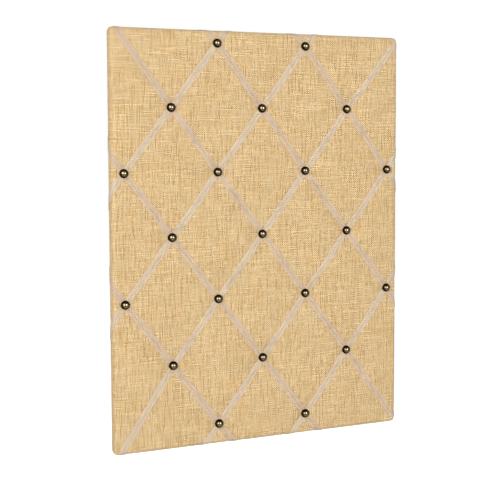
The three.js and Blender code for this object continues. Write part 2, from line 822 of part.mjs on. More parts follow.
const wireRadius = RING_WIRE_DIAMETER / 2;
const loopInner = wireRadius + SEAT_GAP;
const loopOuter = loopInner + STRAP_THICKNESS;

const alongX = new THREE.Vector3(1, 0, 0);
const alongY = new THREE.Vector3(0, 1, 0);
const alongZ = new THREE.Vector3(0, 0, 1);

// A prism through both leaves that rounds the strap's lower right corner
function strapCorner() {
  const edge = STRAP_WIDTH / 2;
  const radius = Math.min(STRAP_END_RADIUS, edge);
  const top = radius - STRAP_LENGTH;
  const corner = new THREE.Shape();
  corner.moveTo(edge, top);
  corner.absarc(edge - radius, top, radius, 0, -Math.PI / 2, true);
  corner.lineTo(edge - radius, top - 2 * radius);
  corner.lineTo(edge + radius, top - 2 * radius);
  corner.lineTo(edge + radius, top);
  corner.closePath();
  const depth = 4 * loopOuter;
  const prism = new THREE.ExtrudeGeometry(corner, { depth, bevelEnabled: false, curveSegments: LOOP_SEGMENTS });
  prism.applyMatrix4(new THREE.Matrix4().makeBasis(alongX, alongZ, alongY.clone().negate()));
  return prism.translate(0, depth / 2, 0);
}

// The strap is bent round the ring's bar, which is its origin, and its two leaves run down together
function makeStrap() {
  const exit = -THREE.MathUtils.degToRad(STRAP_LOOP_EXIT_ANGLE);
  const leafInner = SEAT_GAP - loopInner;
  const leafOuter = leafInner + STRAP_THICKNESS;
  const bendTop = -loopOuter - STRAP_BEND_DROP;
  const bendInner = bendTop + SEAT_GAP;
  const profile = new THREE.Shape();
  profile.moveTo(-loopOuter, -STRAP_LENGTH);
  profile.lineTo(-loopOuter, 0);
  profile.absarc(0, 0, loopOuter, Math.PI, exit, true);
  profile.lineTo(leafOuter, bendTop);
  profile.lineTo(leafOuter, -STRAP_LENGTH);
  profile.lineTo(leafInner, -STRAP_LENGTH);
  profile.lineTo(leafInner, bendInner);
  profile.lineTo(loopInner * Math.cos(exit), loopInner * Math.sin(exit));
  profile.absarc(0, 0, loopInner, exit, Math.PI, false);
  profile.lineTo(-loopInner, -STRAP_LENGTH);
  profile.closePath();
  const bent = new THREE.ExtrudeGeometry(profile, {
    depth: STRAP_WIDTH,
    bevelEnabled: false,
    curveSegments: LOOP_SEGMENTS,
  });
  bent.applyMatrix4(new THREE.Matrix4().makeBasis(alongY, alongZ, alongX));
  bent.translate(-STRAP_WIDTH / 2, 0, 0);
  const holePlan = new THREE.Vector2(0, STRAP_HOLE_FROM_END - STRAP_LENGTH);
  const hole = holePrism(holePlan, screwHoleRadius, -2 * loopOuter, 2 * loopOuter);
  return cutBy(bent, [hole, strapCorner(), strapCorner().rotateZ(Math.PI)]);
}

const ringHalf = RING_WIDTH / 2 - wireRadius;
const ringReach = RING_STRAIGHT + ringHalf;

// The ring is one bent wire, butted in the middle of its straight bar, which is its origin
function makeRing() {
  const bend = RING_CORNER * (1 - Math.SQRT1_2);
  const half = [
    new THREE.Vector3(RING_BUTT_GAP / 2, 0, 0),
    new THREE.Vector3(ringHalf / 2, 0, 0),
    new THREE.Vector3(ringHalf - RING_CORNER, 0, 0),
    new THREE.Vector3(ringHalf - bend, 0, bend),
  ];
  for (let step = 0; step < RING_BOW_STEPS / 2; step += 1) {
    const angle = (step / RING_BOW_STEPS) * Math.PI;
    half.push(new THREE.Vector3(ringHalf * Math.cos(angle), 0, RING_STRAIGHT + ringHalf * Math.sin(angle)));
  }
  const mirrored = half.map((point) => new THREE.Vector3(-point.x, 0, point.z)).reverse();
  const path = new THREE.CatmullRomCurve3([...half, new THREE.Vector3(0, 0, ringReach), ...mirrored]);
  const section = new THREE.Shape();
  for (let side = 0; side < WIRE_SIDES; side += 1) {
    const angle = (side / WIRE_SIDES) * 2 * Math.PI;
    const corner = [wireRadius * Math.cos(angle), wireRadius * Math.sin(angle)];
    if (side === 0) section.moveTo(...corner);
    else section.lineTo(...corner);
  }
  section.closePath();
  return bareGeometry(new THREE.ExtrudeGeometry(section, { steps: RING_STEPS, extrudePath: path }));
}

// Finishes

const FINISHES = {
  linen: { color: 0xe0bd88, roughness: 0.95, metalness: 0 },
  creamRibbon: { color: 0xdac6a8, roughness: 0.8, metalness: 0 },
  mauveRibbon: { color: 0xd4bca4, roughness: 0.8, metalness: 0 },
  bronze: { color: 0x4a382a, roughness: 0.3, metalness: 0.9 },
  fibreboard: { color: 0xa8855a, roughness: 0.9, metalness: 0 },
  foam: { color: 0xf2ead4, roughness: 1, metalness: 0 },
  backing: { color: 0x2c2b2a, roughness: 0.95, metalness: 0 },
  nickel: { color: 0xb8b4aa, roughness: 0.3, metalness: 1 },
  rubber: { color: 0x85837e, roughness: 0.7, metalness: 0 },
};

const memoBoard = new THREE.Group();

function addPiece(name, geometry, finish, parent = memoBoard) {
  const mesh = new THREE.Mesh(geometry, new THREE.MeshStandardMaterial(FINISHES[finish]));
  mesh.name = name;
  parent.add(mesh);
  return mesh;
}

// Assembly

const coverFaces = frontSheet(0);
const [EAST_UP, WEST_UP, WEST_DOWN, EAST_DOWN] = [1, 3, 5, 7];

const falling = ribbonRows(({ column, row }) => column - row).map((row) => (
  makeRibbon(row, WEST_UP, EAST_DOWN, coverFaces)
));
const fallingFaces = [...coverFaces, ...falling.flatMap(({ over }) => over)];
const rising = ribbonRows(({ column, row }) => column + row).map((row) => (
  makeRibbon(row, WEST_DOWN, EAST_UP, fallingFaces)
));
const risingFaces = [...fallingFaces, ...rising.flatMap(({ over }) => over)];

const studSeats = tufts.map((tuft) => studSeat(tuft, risingFaces));

const hangerX = PANEL_WIDTH / 2 - HANGER_FROM_SIDE;
const hangerZ = PANEL_HEIGHT / 2 - HANGER_FROM_TOP;
const screwZ = hangerZ - STRAP_LENGTH + STRAP_HOLE_FROM_END;
const loopY = dustMiddleBack + loopOuter;
const leafBack = loopY + SEAT_GAP - loopInner + STRAP_THICKNESS;
const hangers = [['left', -hangerX], ['right', hangerX]];
const screwPlans = hangers.map(([, x]) => new THREE.Vector2(x, screwZ));

const nailCuts = tufts.map(({ centre }, i) => (
  holePrism(centre, nailHoleRadius, boardFront - SEAT_GAP, studSeats[i] + STUD_SHANK_LENGTH + SEAT_GAP)
));
const screwCuts = screwPlans.map((plan) => (
  holePrism(plan, screwHoleRadius, leafBack - SCREW_LENGTH - SEAT_GAP, boardBack + SEAT_GAP)
));

addPiece('backing_board', makeBoard([...nailCuts, ...screwCuts]), 'fibreboard');
addPiece('foam_pad', makeFoam(), 'foam');
addPiece('linen_cover', makeCover(), 'linen');
falling.forEach(({ geometry }, i) => addPiece(`ribbon_fall_${i + 1}`, geometry, 'mauveRibbon'));
rising.forEach(({ geometry }, i) => addPiece(`ribbon_rise_${i + 1}`, geometry, 'creamRibbon'));
tufts.forEach(({ centre }, i) => {
  const stud = addPiece(`stud_${String(i + 1).padStart(2, '0')}`, makeStud(), 'bronze');
  stud.position.copy(inSpace(centre, studSeats[i]));
});
addPiece('dust_cover', makeDustCover(screwPlans), 'backing');

// At rest each ring points up and leans on the dust cover
const ringLean = Math.asin((loopOuter - SEAT_GAP - wireRadius) / ringReach);
for (const [sideName, x] of hangers) {
  const hanger = new THREE.Group();
  hanger.position.set(x, loopY, hangerZ);
  addPiece(`hanger_strap_${sideName}`, makeStrap(), 'nickel', hanger);
  addPiece(`hanger_ring_${sideName}`, makeRing(), 'nickel', hanger).rotation.x = ringLean;
  memoBoard.add(hanger);
  addPiece(`hanger_screw_${sideName}`, makeScrew(), 'nickel').position.set(x, leafBack, screwZ);
  const bumper = addPiece(`bumper_${sideName}`, makeBumper(), 'rubber');
  const bumperX = Math.sign(x) * (PANEL_WIDTH / 2 - BUMPER_FROM_CORNER);
  bumper.position.set(bumperX, 0, BUMPER_FROM_CORNER - PANEL_HEIGHT / 2);
}

export default memoBoard;
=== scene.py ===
# Looks of a French memo board: quilted linen, woven ribbons, bronze studs, and the fittings on its back.
# Metres, +Z up. The front faces -Y, and y = 0 is the wall.

import json
import math

import bmesh
import bpy
import numpy as np
from mathutils import Matrix, Vector


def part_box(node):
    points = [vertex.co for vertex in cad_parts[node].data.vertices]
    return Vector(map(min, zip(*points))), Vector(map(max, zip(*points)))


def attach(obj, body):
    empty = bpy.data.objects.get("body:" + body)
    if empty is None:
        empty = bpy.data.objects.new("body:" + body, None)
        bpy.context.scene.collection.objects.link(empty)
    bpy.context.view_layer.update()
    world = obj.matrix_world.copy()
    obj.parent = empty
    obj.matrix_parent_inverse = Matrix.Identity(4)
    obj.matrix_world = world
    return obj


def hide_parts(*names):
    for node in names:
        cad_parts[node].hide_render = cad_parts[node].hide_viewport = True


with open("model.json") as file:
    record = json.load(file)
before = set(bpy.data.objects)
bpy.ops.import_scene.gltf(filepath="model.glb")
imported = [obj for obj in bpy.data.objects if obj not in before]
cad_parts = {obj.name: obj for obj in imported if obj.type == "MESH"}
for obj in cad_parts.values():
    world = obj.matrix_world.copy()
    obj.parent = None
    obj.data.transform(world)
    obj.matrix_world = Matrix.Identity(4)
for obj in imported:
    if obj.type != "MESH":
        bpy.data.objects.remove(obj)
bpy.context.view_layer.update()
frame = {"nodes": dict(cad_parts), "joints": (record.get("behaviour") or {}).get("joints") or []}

MM = 0.001
SEED = 11
PHASE_SPAN = 6
chance = np.random.default_rng(SEED)

# Cloth
EDGE_RADIUS = 7 * MM
BACK_EDGE_RADIUS = 2.5 * MM
COVER_THICKNESS = 0.8 * MM
SEAT_GAP = 0.3 * MM
HEM_WIDTH = 35 * MM
COVER_SPACING = 2.75 * MM
FOAM_SPACING = 6 * MM
CROWN_HEIGHT = 1.7 * MM
CROWN_SHOULDER = 26 * MM
EDGE_PULL = 0.6
CORNER_STEPS = 10
EDGE_ROWS = 8
SIDE_ROWS = 5
BACK_EDGE_ROWS = 3
HEM_ROWS = 2
FOAM_EDGE_ROWS = 4
RIPPLE_COUNT = 6
RIPPLE_HEIGHT = 0.15 * MM
RIPPLE_LENGTHS = (30 * MM, 90 * MM)
PLEAT_HEIGHT = 0.5 * MM
PLEAT_PLACE = 0.55
PLEAT_SPREAD = 0.12
PLEAT_GROWTH = (0.3, 1.2)
SIDE_BULGE = 0.8 * MM

# How the foam gives way: the length over which a dimple fades, and the channel under a ribbon
DIMPLE_REACH = 11 * MM
CHANNEL_DEPTH = 0.9 * MM
PRESS_REACH = 12 * MM
RELAX_STEPS = 500
FREE = -1.0

# Ribbons
RIBBON_WIDTH = 10 * MM
RIBBON_THICKNESS = 0.6 * MM
RIBBON_TAIL = 22 * MM
RIBBON_STEP = 2 * MM
RIBBON_POINTS_ACROSS = 9
RIBBON_SWAY = 0.2 * MM
RIBBON_SWAY_LENGTH = 110 * MM
RIBBON_NARROWING = 0.2
RIBBON_WANDER = 0.015
RIBBON_WANDER_LENGTH = 37 * MM
RIBBON_CUP = 0.12 * MM
RIBBON_CUP_LENGTH = 52 * MM
RIBBON_EDGE_THINNING = 0.45
ROUTE_SMOOTHING = 4
SEAT_SMOOTHING = 3
CORNER_RIBBON_INSET = 12 * MM
CROSSING_REACH = 8 * MM

# Studs and other turned pieces
TURNED_STEPS = 48
STUD_DOME_POINTS = 16
STUD_HEAD_HEIGHT = 5 * MM
STUD_PRESS = 1 * MM
STUD_RIM_WIDTH = 1.2 * MM
STUD_SHANK_RADIUS = 0.9 * MM
STUD_POINT_LENGTH = 3.5 * MM

# Back of the board
DUST_THICKNESS = 0.5 * MM
DUST_STEP_START = 38 * MM
DUST_STEP_LENGTH = 6 * MM
DUST_SPACING = 4 * MM
DUST_FOLD = 14 * MM
DUST_FOLD_BLEND = 1 * MM
DUST_FOLD_HEIGHT = 0.25 * MM
DUST_RIPPLE = 0.15 * MM
DUST_RIPPLE_START = 30 * MM
DUST_RIPPLE_TURNS = (71, 53)
DUST_RIPPLE_PHASES = (1, 2)
STAPLE_DENT = 0.3 * MM
STAPLE_DENT_REACH = 6 * MM
STAPLE_CROWN = 10 * MM
STAPLE_BEND = 0.8 * MM
STAPLE_BEND_STEPS = 5
STAPLE_LEG = 3 * MM
STAPLE_WIRE = (1.1 * MM, 0.5 * MM)
STAPLE_FROM_EDGE = 20 * MM
STAPLE_SPACING = 55 * MM
STAPLE_STRAY_ALONG = 2 * MM
STAPLE_STRAY_ACROSS = 1 * MM
STAPLE_SKEW_DEGREES = 6
STRAP_WIDTH = 14 * MM
STRAP_THICKNESS = 0.8 * MM
STRAP_BEND_DROP = 1.6 * MM
STRAP_EXIT_ANGLE = math.radians(50)
STRAP_END_RADIUS = 5 * MM
STRAP_EDGE_ROUND = 0.12 * MM
BEND_STEPS = 28
CORNER_ARC_STEPS = 8
RING_WIRE_RADIUS = 1.2 * MM
RING_WIRE_SIDES = 16
RING_BOW_STEPS = 24
RING_STRAIGHT = 4 * MM
RING_CORNER = 2.5 * MM
RING_BUTT_GAP = 0.5 * MM
SCREW_STEPS = 40
SCREW_HEAD_HEIGHT = 2 * MM
SCREW_HEAD_SIDE = 0.7 * MM
SCREW_FLAT_SHARE = 0.45
SCREW_SHANK_RADIUS = 1.5 * MM
SCREW_POINT_LENGTH = 3 * MM
SCREW_RECESS_SPAN = 3.4 * MM
SCREW_RECESS_WIDTH = 0.8 * MM
SCREW_RECESS_DEPTH = 1.1 * MM
SCREW_RECESS_TURNS = (20, 110)
ROUNDING_STEPS = 6
BUMPER_ROUND = 1.2 * MM

# Weave
WARP_PITCH = 1.75 * MM
WEFT_PITCH = 1.55 * MM
SLUB_LENGTH = 28 * MM
FLECK_LENGTH = 2.4 * MM
TAPE_PITCH = 3.2 * MM

# Steps of noise from yarn to yarn: wide for unrelated yarns, narrow for yarns that change together
SLUB_STRIDE = 3.717
FLECK_STRIDE = 5.331
CONTRAST_STRIDE = 0.35

# Stage and lamps: name, place, diameter in metres and watts
FLOOR_DROP = 0.8
FLOOR_SIZE = 12
FLOOR_TONE = 0.5
FLOOR_GLOW = 0.92
BACKDROP_BLEND = 0.2
AMBIENT = 0.25
LAMPS = (
    ("left window", (-2.3, -2.85, 1.0), 3.2, 94),
    ("left softbox", (-3.9, -0.15, 0.6), 1.5, 26),
    ("front softbox", (1.1, -3.4, 0.5), 1.3, 50),
    ("back softbox", (0.9, 2.4, 0.8), 1.6, 45),
)

# Camera, as the photograph's picture plane of 500 pixels needs it
PICTURE_SIZE = 500
FOCAL_PIXELS = 935
SHIFT_PIXELS = -50
CAMERA_PLACE = Vector((-0.513, -1.296, 0.142))
CAMERA_YAW = math.radians(21.22)
CAMERA_PITCH = math.radians(-3.59)
CAMERA_ROLL = math.radians(-0.20)
SENSOR_WIDTH = 36

# Places taken from the frame
cover_low, cover_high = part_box("linen_cover")
FRONT = cover_low.y
HEM_BACK = cover_high.y
HALF = np.array([cover_high.x, cover_high.z])
FLAT = HALF - EDGE_RADIUS
EDGE_CENTRE = FRONT + EDGE_RADIUS
EDGE_LENGTH = EDGE_RADIUS * math.pi / 2
SIDE_LENGTH = HEM_BACK - BACK_EDGE_RADIUS - EDGE_CENTRE
BACK_EDGE_LENGTH = BACK_EDGE_RADIUS * math.pi / 2
WRAP_LENGTH = EDGE_LENGTH + SIDE_LENGTH + BACK_EDGE_LENGTH
FIELD_MARGIN = EDGE_LENGTH + 2 * MM


def centre_of(node):
    low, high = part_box(node)
    return (low + high) / 2


stud_names = sorted(name for name in frame["nodes"] if name.startswith("stud_"))
stud_plans = np.array([[centre_of(name).x, centre_of(name).z] for name in stud_names])
stud_seats = np.array([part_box(name)[0].y + STUD_HEAD_HEIGHT for name in stud_names])
stud_low, stud_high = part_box(stud_names[0])
STUD_RADIUS = (stud_high.x - stud_low.x) / 2
STUD_SHANK_LENGTH = stud_high.y - stud_low.y - STUD_HEAD_HEIGHT

# Under each stud lie the cloth and two ribbons, pressed together
stud_dips = stud_seats + STUD_PRESS - FRONT + 2 * RIBBON_THICKNESS


def lattice_index(values, falling):
    lines = sorted({round(float(value), 4) for value in values}, reverse=falling)
    return np.array([lines.index(round(float(value), 4)) for value in values])


stud_columns = lattice_index(stud_plans[:, 0], falling=False)
stud_rows = lattice_index(stud_plans[:, 1], falling=True)


# Small helpers for meshes

def smoothstep(low, high, value):
    share = np.clip((value - low) / (high - low), 0, 1)
    return share * share * (3 - 2 * share)


def new_object(name, points, faces, material):
    mesh = bpy.data.meshes.new(name)
    mesh.from_pydata([tuple(point) for point in points], [], [tuple(face) for face in faces])
    mesh.validate()
    mesh.polygons.foreach_set("use_smooth", [True] * len(mesh.polygons))
    mesh.materials.append(material)
    piece = bpy.data.objects.new(name, mesh)
    bpy.context.scene.collection.objects.link(piece)
    return piece


def face_outwards(piece):
    work = bmesh.new()
    work.from_mesh(piece.data)
    bmesh.ops.remove_doubles(work, verts=work.verts, dist=1e-7)
    bmesh.ops.recalc_face_normals(work, faces=work.faces)
    work.to_mesh(piece.data)
    work.free()


def store_vector(piece, name, values):
    layer = piece.data.attributes.new(name, "FLOAT_VECTOR", "POINT")
    layer.data.foreach_set("vector", np.asarray(values, np.float32).ravel())


def apply_modifiers(piece):
    graph = bpy.context.evaluated_depsgraph_get()
    finished = bpy.data.meshes.new_from_object(piece.evaluated_get(graph))
    piece.modifiers.clear()
    piece.data = finished


def soften_edges(piece, width, angle):
    bevel = piece.modifiers.new("soft edges", "BEVEL")
    bevel.width = width
    bevel.segments = 2
    bevel.limit_method = "ANGLE"
    bevel.angle_limit = math.radians(angle)
    apply_modifiers(piece)


def thicken(piece, thickness):
    """Adds a second layer behind the faces of a thin sheet, and closes its border."""
    layer = piece.modifiers.new("thickness", "SOLIDIFY")
    layer.thickness = thickness
    layer.offset = -1
    apply_modifiers(piece)


def sharpen(piece, angle):
    piece.data.set_sharp_from_angle(angle=math.radians(angle))


def solid_piece(name, shape, material, crease):
    """A piece of points and faces that face outwards, with sharp edges past an angle in degrees."""
    piece = new_object(name, *shape, material)
    face_outwards(piece)
    sharpen(piece, crease)
    return piece


def bridge(first, second):
    """Faces between two closed rows of indices that run the same way. A repeated index gives a triangle."""
    faces = []
    for i in range(len(first)):
        j = (i + 1) % len(first)
        corners = [first[i], second[i], second[j], first[j]]
        face = list(dict.fromkeys(corners))
        if len(face) > 2:
            faces.append(face)
    return faces


def joined(rows):
    """Faces between each closed row of indices and the next."""
    return [face for first, second in zip(rows, rows[1:]) for face in bridge(first, second)]


def lathe(profile, steps):
    """Points and faces of a profile of (radius, y) turned round the Y axis, with both ends on it."""
    angles = np.linspace(0, 2 * math.pi, steps, endpoint=False)
    points = [(0, profile[0][1], 0)]
    rows = [[0] * steps]
    for radius, y in profile[1:-1]:
        rows.append(list(range(len(points), len(points) + steps)))
        points.extend((radius * math.cos(a), y, radius * math.sin(a)) for a in angles)
    rows.append([len(points)] * steps)
    points.append((0, profile[-1][1], 0))
    return points, joined(rows)


def skin(rows):
    """Points and faces over rows of points, each row a closed loop, with both ends closed."""
    points = [point for row in rows for point in row]
    index = np.arange(len(points)).reshape(len(rows), -1).tolist()
    return points, [index[0], index[-1][::-1], *joined(index)]


def directions(path):
    """Unit vectors along a path, one at each of its points."""
    steps = np.gradient(path, axis=0)
    return steps / np.linalg.norm(steps, axis=1)[:, None]


def sweep(path, section, plane_normal):
    """Points and faces of a section swept along an open path that lies in a plane, with closed ends."""
    path = np.asarray(path, float)
    normal = np.asarray(plane_normal, float)
    across = np.cross(directions(path), normal)
    return skin([[spot + a * side + b * normal for a, b in section] for spot, side in zip(path, across)])


def plan_grid(half, spacing):
    """Evenly spaced lines both ways over a plan, given half of its size, and the spots where they cross."""
    counts = [2 * round(size / spacing) + 1 for size in half]
    lines = [np.linspace(-size, size, count) for size, count in zip(half, counts)]
    return lines, np.stack(np.meshgrid(*lines, indexing="ij"), -1)


def grid_faces(index):
    """Faces between neighbours in a grid of indices."""
    corners = [index[:-1, :-1], index[1:, :-1], index[1:, 1:], index[:-1, 1:]]
    return np.stack([corner.ravel() for corner in corners], -1).tolist()


def rectangle(width, height):
    """Corners of a rectangle about the origin."""
    return [(a * width / 2, b * height / 2) for a, b in ((-1, -1), (1, -1), (1, 1), (-1, 1))]


def round_section(radius, sides):
    angles = np.linspace(0, 2 * math.pi, sides, endpoint=False)
    return [(radius * math.cos(a), radius * math.sin(a)) for a in angles]


def arc(centre, radius, start, end, steps):
    angles = np.linspace(start, end, steps + 1)
    return [(centre[0] + radius * math.cos(a), centre[1] + radius * math.sin(a)) for a in angles]


def rows_along(length, count):
    """Evenly spaced travels along a length, without its start."""
    return np.linspace(0, length, count + 1)[1:]


def turned_back(profile):
    return [(-x, z) for x, z in reversed(profile)]


# Ribbon routes, in the plane of the unrolled cloth: x and z on the front, and on past the edges

# The way that a ribbon takes off the front at a corner, for each corner's signs of x and z
CORNER_WAYS = {(1, 1): (1, 0), (-1, 1): (0, 1), (-1, -1): (0, -1), (1, -1): (1, 0)}


def route_end(spot, direction):
    """Where a ribbon crosses the edge beyond its last stud, and the end of its tail on the back."""
    signs = np.sign(direction)
    reach = (signs * FLAT - spot) / direction
    pitch = np.abs(direction) * np.linalg.norm(stud_plans[0] - stud_plans[1]) / 2
    if reach.max() - reach.min() < pitch.max():
        normal = np.array(CORNER_WAYS[tuple(signs.astype(int).tolist())], float)
        run = np.abs(normal[::-1]) * signs
        edge = normal * FLAT + run * (HALF - CORNER_RIBBON_INSET)
        return [edge, edge + normal * (WRAP_LENGTH + RIBBON_TAIL)]
    first = int(np.argmin(reach))
    edge = spot + direction * reach[first]
    tail = (WRAP_LENGTH + RIBBON_TAIL) / abs(direction[first])
    return [edge, edge + direction * tail]


def stations(corners):
    """Evenly spaced spots along a route, with its bends rounded."""
    spots = []
    for start, end in zip(corners, corners[1:]):
        count = max(2, round(np.linalg.norm(end - start) / RIBBON_STEP))
        spots.extend(start + (end - start) * share for share in np.arange(count) / count)
    spots = np.array([*spots, corners[-1]])
    for _ in range(ROUTE_SMOOTHING):
        spots[1:-1] = (spots[:-2] + 2 * spots[1:-1] + spots[2:]) / 4
    return spots


def routes(keys):
    """One route for each ribbon, from left to right, with the studs on it."""
    made = []
    for key in sorted(set(keys)):
        members = [i for i in np.argsort(stud_plans[:, 0]) if keys[i] == key]
        row = [stud_plans[i] for i in members]
        along = row[1] - row[0]
        along /= np.linalg.norm(along)
        start = route_end(row[0], -along)
        end = route_end(row[-1], along)
        made.append((stations([*reversed(start), *row, *end]), members))
    return made


fall_routes = routes(list(stud_columns - stud_rows))
rise_routes = routes(list(stud_columns + stud_rows))


# The cloth gives way under studs and ribbons like a membrane on foam

field_half = FLAT + FIELD_MARGIN
field_lines, field_spots = plan_grid(field_half, COVER_SPACING)
field_counts = field_spots.shape[:2]

# Each ripple has a direction, a length and a phase
ripples = list(zip(
    chance.uniform(0, math.pi, RIPPLE_COUNT),
    chance.uniform(*RIPPLE_LENGTHS, RIPPLE_COUNT),
    chance.uniform(0, PHASE_SPAN, RIPPLE_COUNT),
))


def rest_depth(spots):
    """Depth of the cloth where nothing presses on it: a low and slightly uneven pillow."""
    inside = 1 - smoothstep(-CROWN_SHOULDER, 0, (np.abs(spots) - FLAT).max(-1))
    waves = np.zeros(spots.shape[:-1])
    for turn, length, phase in ripples:
        along = spots[..., 0] * math.cos(turn) + spots[..., 1] * math.sin(turn)
        waves += np.sin(2 * math.pi * along / length + phase)
    return -(CROWN_HEIGHT + RIPPLE_HEIGHT * waves / 2) * inside


def ribbon_dips(spots, members):
    """How deep a ribbon holds the cloth: a shallow channel that goes down to each stud on it."""
    channel = rest_depth(spots) + CHANNEL_DEPTH
    dips = channel
    for i in members:
        distance = np.linalg.norm(spots - stud_plans[i], axis=1)
        share = np.exp(-np.clip(distance - STUD_RADIUS, 0, None) / PRESS_REACH)
        dips = np.maximum(dips, channel + (stud_dips[i] - channel) * share)
    beyond = np.linalg.norm(spots - np.clip(spots, -FLAT, FLAT), axis=1)
    return dips * (1 - smoothstep(0, FIELD_MARGIN, beyond))


def pressed_depth():
    """The least depth of the cloth at every spot of the field, under studs and ribbons."""
    press = np.full(field_counts, FREE)
    for spots, members in [*fall_routes, *rise_routes]:
        for spot, dip in zip(spots, ribbon_dips(spots, members)):
            near = [np.abs(line - place) < RIBBON_WIDTH / 2 for line, place in zip(field_lines, spot)]
            patch = np.ix_(*near)
            under = np.linalg.norm(field_spots[patch] - spot, axis=-1) < RIBBON_WIDTH / 2
            press[patch] = np.where(under, np.maximum(press[patch], dip), press[patch])
    for spot, dip in zip(stud_plans, stud_dips):
        under = np.linalg.norm(field_spots - spot, axis=-1) < STUD_RADIUS
        press = np.where(under, np.maximum(press, dip), press)
    return press


def relaxed(press, rest):
    """The membrane that the foam pushes towards its rest, and that stays below what presses on it."""
    give = (COVER_SPACING / DIMPLE_REACH) ** 2 / 4
    dip = np.maximum(press, rest)
    for _ in range(RELAX_STEPS):
        mean = (dip[:-2, 1:-1] + dip[2:, 1:-1] + dip[1:-1, :-2] + dip[1:-1, 2:]) / 4
        free = (mean + give * rest[1:-1, 1:-1]) / (1 + give)
        dip[1:-1, 1:-1] = np.maximum(free, press[1:-1, 1:-1])
    return dip


dip_field = relaxed(pressed_depth(), rest_depth(field_spots))


def dip_at(spots):
    """The field's depth at any unrolled spots, by linear interpolation."""
    spots = np.asarray(spots)
    steps = []
    for axis in (0, 1):
        scaled = (spots[..., axis] + field_half[axis]) / (2 * field_half[axis]) * (field_counts[axis] - 1)
        steps.append(np.clip(scaled, 0, field_counts[axis] - 1.000001))
    i, j = [step.astype(int) for step in steps]
    a, b = [step - step.astype(int) for step in steps]
    low = dip_field[i, j] * (1 - b) + dip_field[i, j + 1] * b
    high = dip_field[i + 1, j] * (1 - b) + dip_field[i + 1, j + 1] * b
    return low * (1 - a) + high * a


def wrap(spots, dip, lift=0.0):
    """Unrolled spots in space: flat on the front, round the edge, down the side and in over the hem."""
    held = np.clip(spots, -FLAT, FLAT)
    over = spots - held
    travel = np.linalg.norm(over, axis=-1)
    outward = over / np.maximum(travel, 1e-9)[..., None]
    angle = np.clip(travel / EDGE_RADIUS, 0, math.pi / 2)
    down = np.clip(travel - EDGE_LENGTH, 0, SIDE_LENGTH)
    turn = np.clip((travel - EDGE_LENGTH - SIDE_LENGTH) / BACK_EDGE_RADIUS, 0, math.pi / 2)
    back = np.clip(travel - WRAP_LENGTH, 0, None)
    out = (EDGE_RADIUS + lift - EDGE_PULL * dip) * np.sin(angle)
    out = out + SIDE_BULGE * np.sin(math.pi * down / SIDE_LENGTH)
    out = out - (BACK_EDGE_RADIUS + lift) * (1 - np.cos(turn)) - back
    depth = EDGE_CENTRE - (EDGE_RADIUS + lift - dip) * np.cos(angle) + down
    depth = depth + (BACK_EDGE_RADIUS + lift) * np.sin(turn)
    plan = held + outward * out[..., None]
    return np.stack([plan[..., 0], depth, plan[..., 1]], -1)


# Shells that follow the tufted front

def front_grid(spacing):
    """Spots of the flat front, faces between them, and the indices and outward normals of its border."""
    _, spots = plan_grid(FLAT, spacing)
    index = np.arange(spots[..., 0].size).reshape(spots.shape[:2])
    border = []
    angles = []
    for run, start in ((index[:, 0], -90), (index[-1, :], 0), (index[::-1, -1], 90), (index[0, ::-1], 180)):
        *side, corner = run.tolist()
        border += side + [corner] * CORNER_STEPS
        angles += [start] * len(side)
        angles += [start + 90 * step / CORNER_STEPS for step in range(CORNER_STEPS)]
    turns = np.radians(angles)
    normals = np.stack([np.cos(turns), np.sin(turns)], -1)
    return spots.reshape(-1, 2), grid_faces(index), border, normals


def add_row(points, faces, last, row):
    """Adds a row of points to a shell and joins it to the last row."""
    new = list(range(len(points), len(points) + len(row)))
    points.extend(row)
    faces.extend(bridge(last, new))
    return new


def hem_line(starts, normals, slant):
    """The hem's inner edge in plan, for each spot of the border. At a corner, all spots share one point."""
    inner = HALF - HEM_WIDTH
    straight_out = np.abs(normals) > 0.5
    return np.where(straight_out | slant[:, None], np.sign(starts) * inner, starts / FLAT * inner)


def make_cover(material):
    spots, faces, border, normals = front_grid(COVER_SPACING)
    starts = spots[border]
    points = list(wrap(spots, dip_at(spots)))
    unrolled = list(spots)
    last = border
    slant = np.abs(normals).min(1) > 1e-6
    pleat = np.exp(-((np.abs(normals[:, 0]) - PLEAT_PLACE) / PLEAT_SPREAD) ** 2) * slant
    edge_travels = rows_along(EDGE_LENGTH, EDGE_ROWS)
    side_travels = EDGE_LENGTH + rows_along(SIDE_LENGTH, SIDE_ROWS)
    turn_travels = EDGE_LENGTH + SIDE_LENGTH + rows_along(BACK_EDGE_LENGTH, BACK_EDGE_ROWS)
    for travel in [*edge_travels, *side_travels, *turn_travels]:
        row = starts + normals * travel
        fold = PLEAT_HEIGHT * pleat * smoothstep(*PLEAT_GROWTH, travel / EDGE_LENGTH)
        last = add_row(points, faces, last, wrap(row, dip_at(row), lift=fold))
        unrolled.extend(row)
    outer = np.array(points)[last][:, [0, 2]]
    inner = hem_line(starts, normals, slant)
    for share in rows_along(1, HEM_ROWS):
        plan = outer * (1 - share) + inner * share
        row = np.stack([plan[:, 0], np.full(len(plan), HEM_BACK), plan[:, 1]], -1)
        last = add_row(points, faces, last, row)
        unrolled.extend(starts + normals * (WRAP_LENGTH + share * HEM_WIDTH))
    cover = new_object("linen_cover_cloth", points, faces, material)
    store_vector(cover, "cloth", np.column_stack([unrolled, np.zeros(len(unrolled))]))
    thicken(cover, COVER_THICKNESS)
    return cover


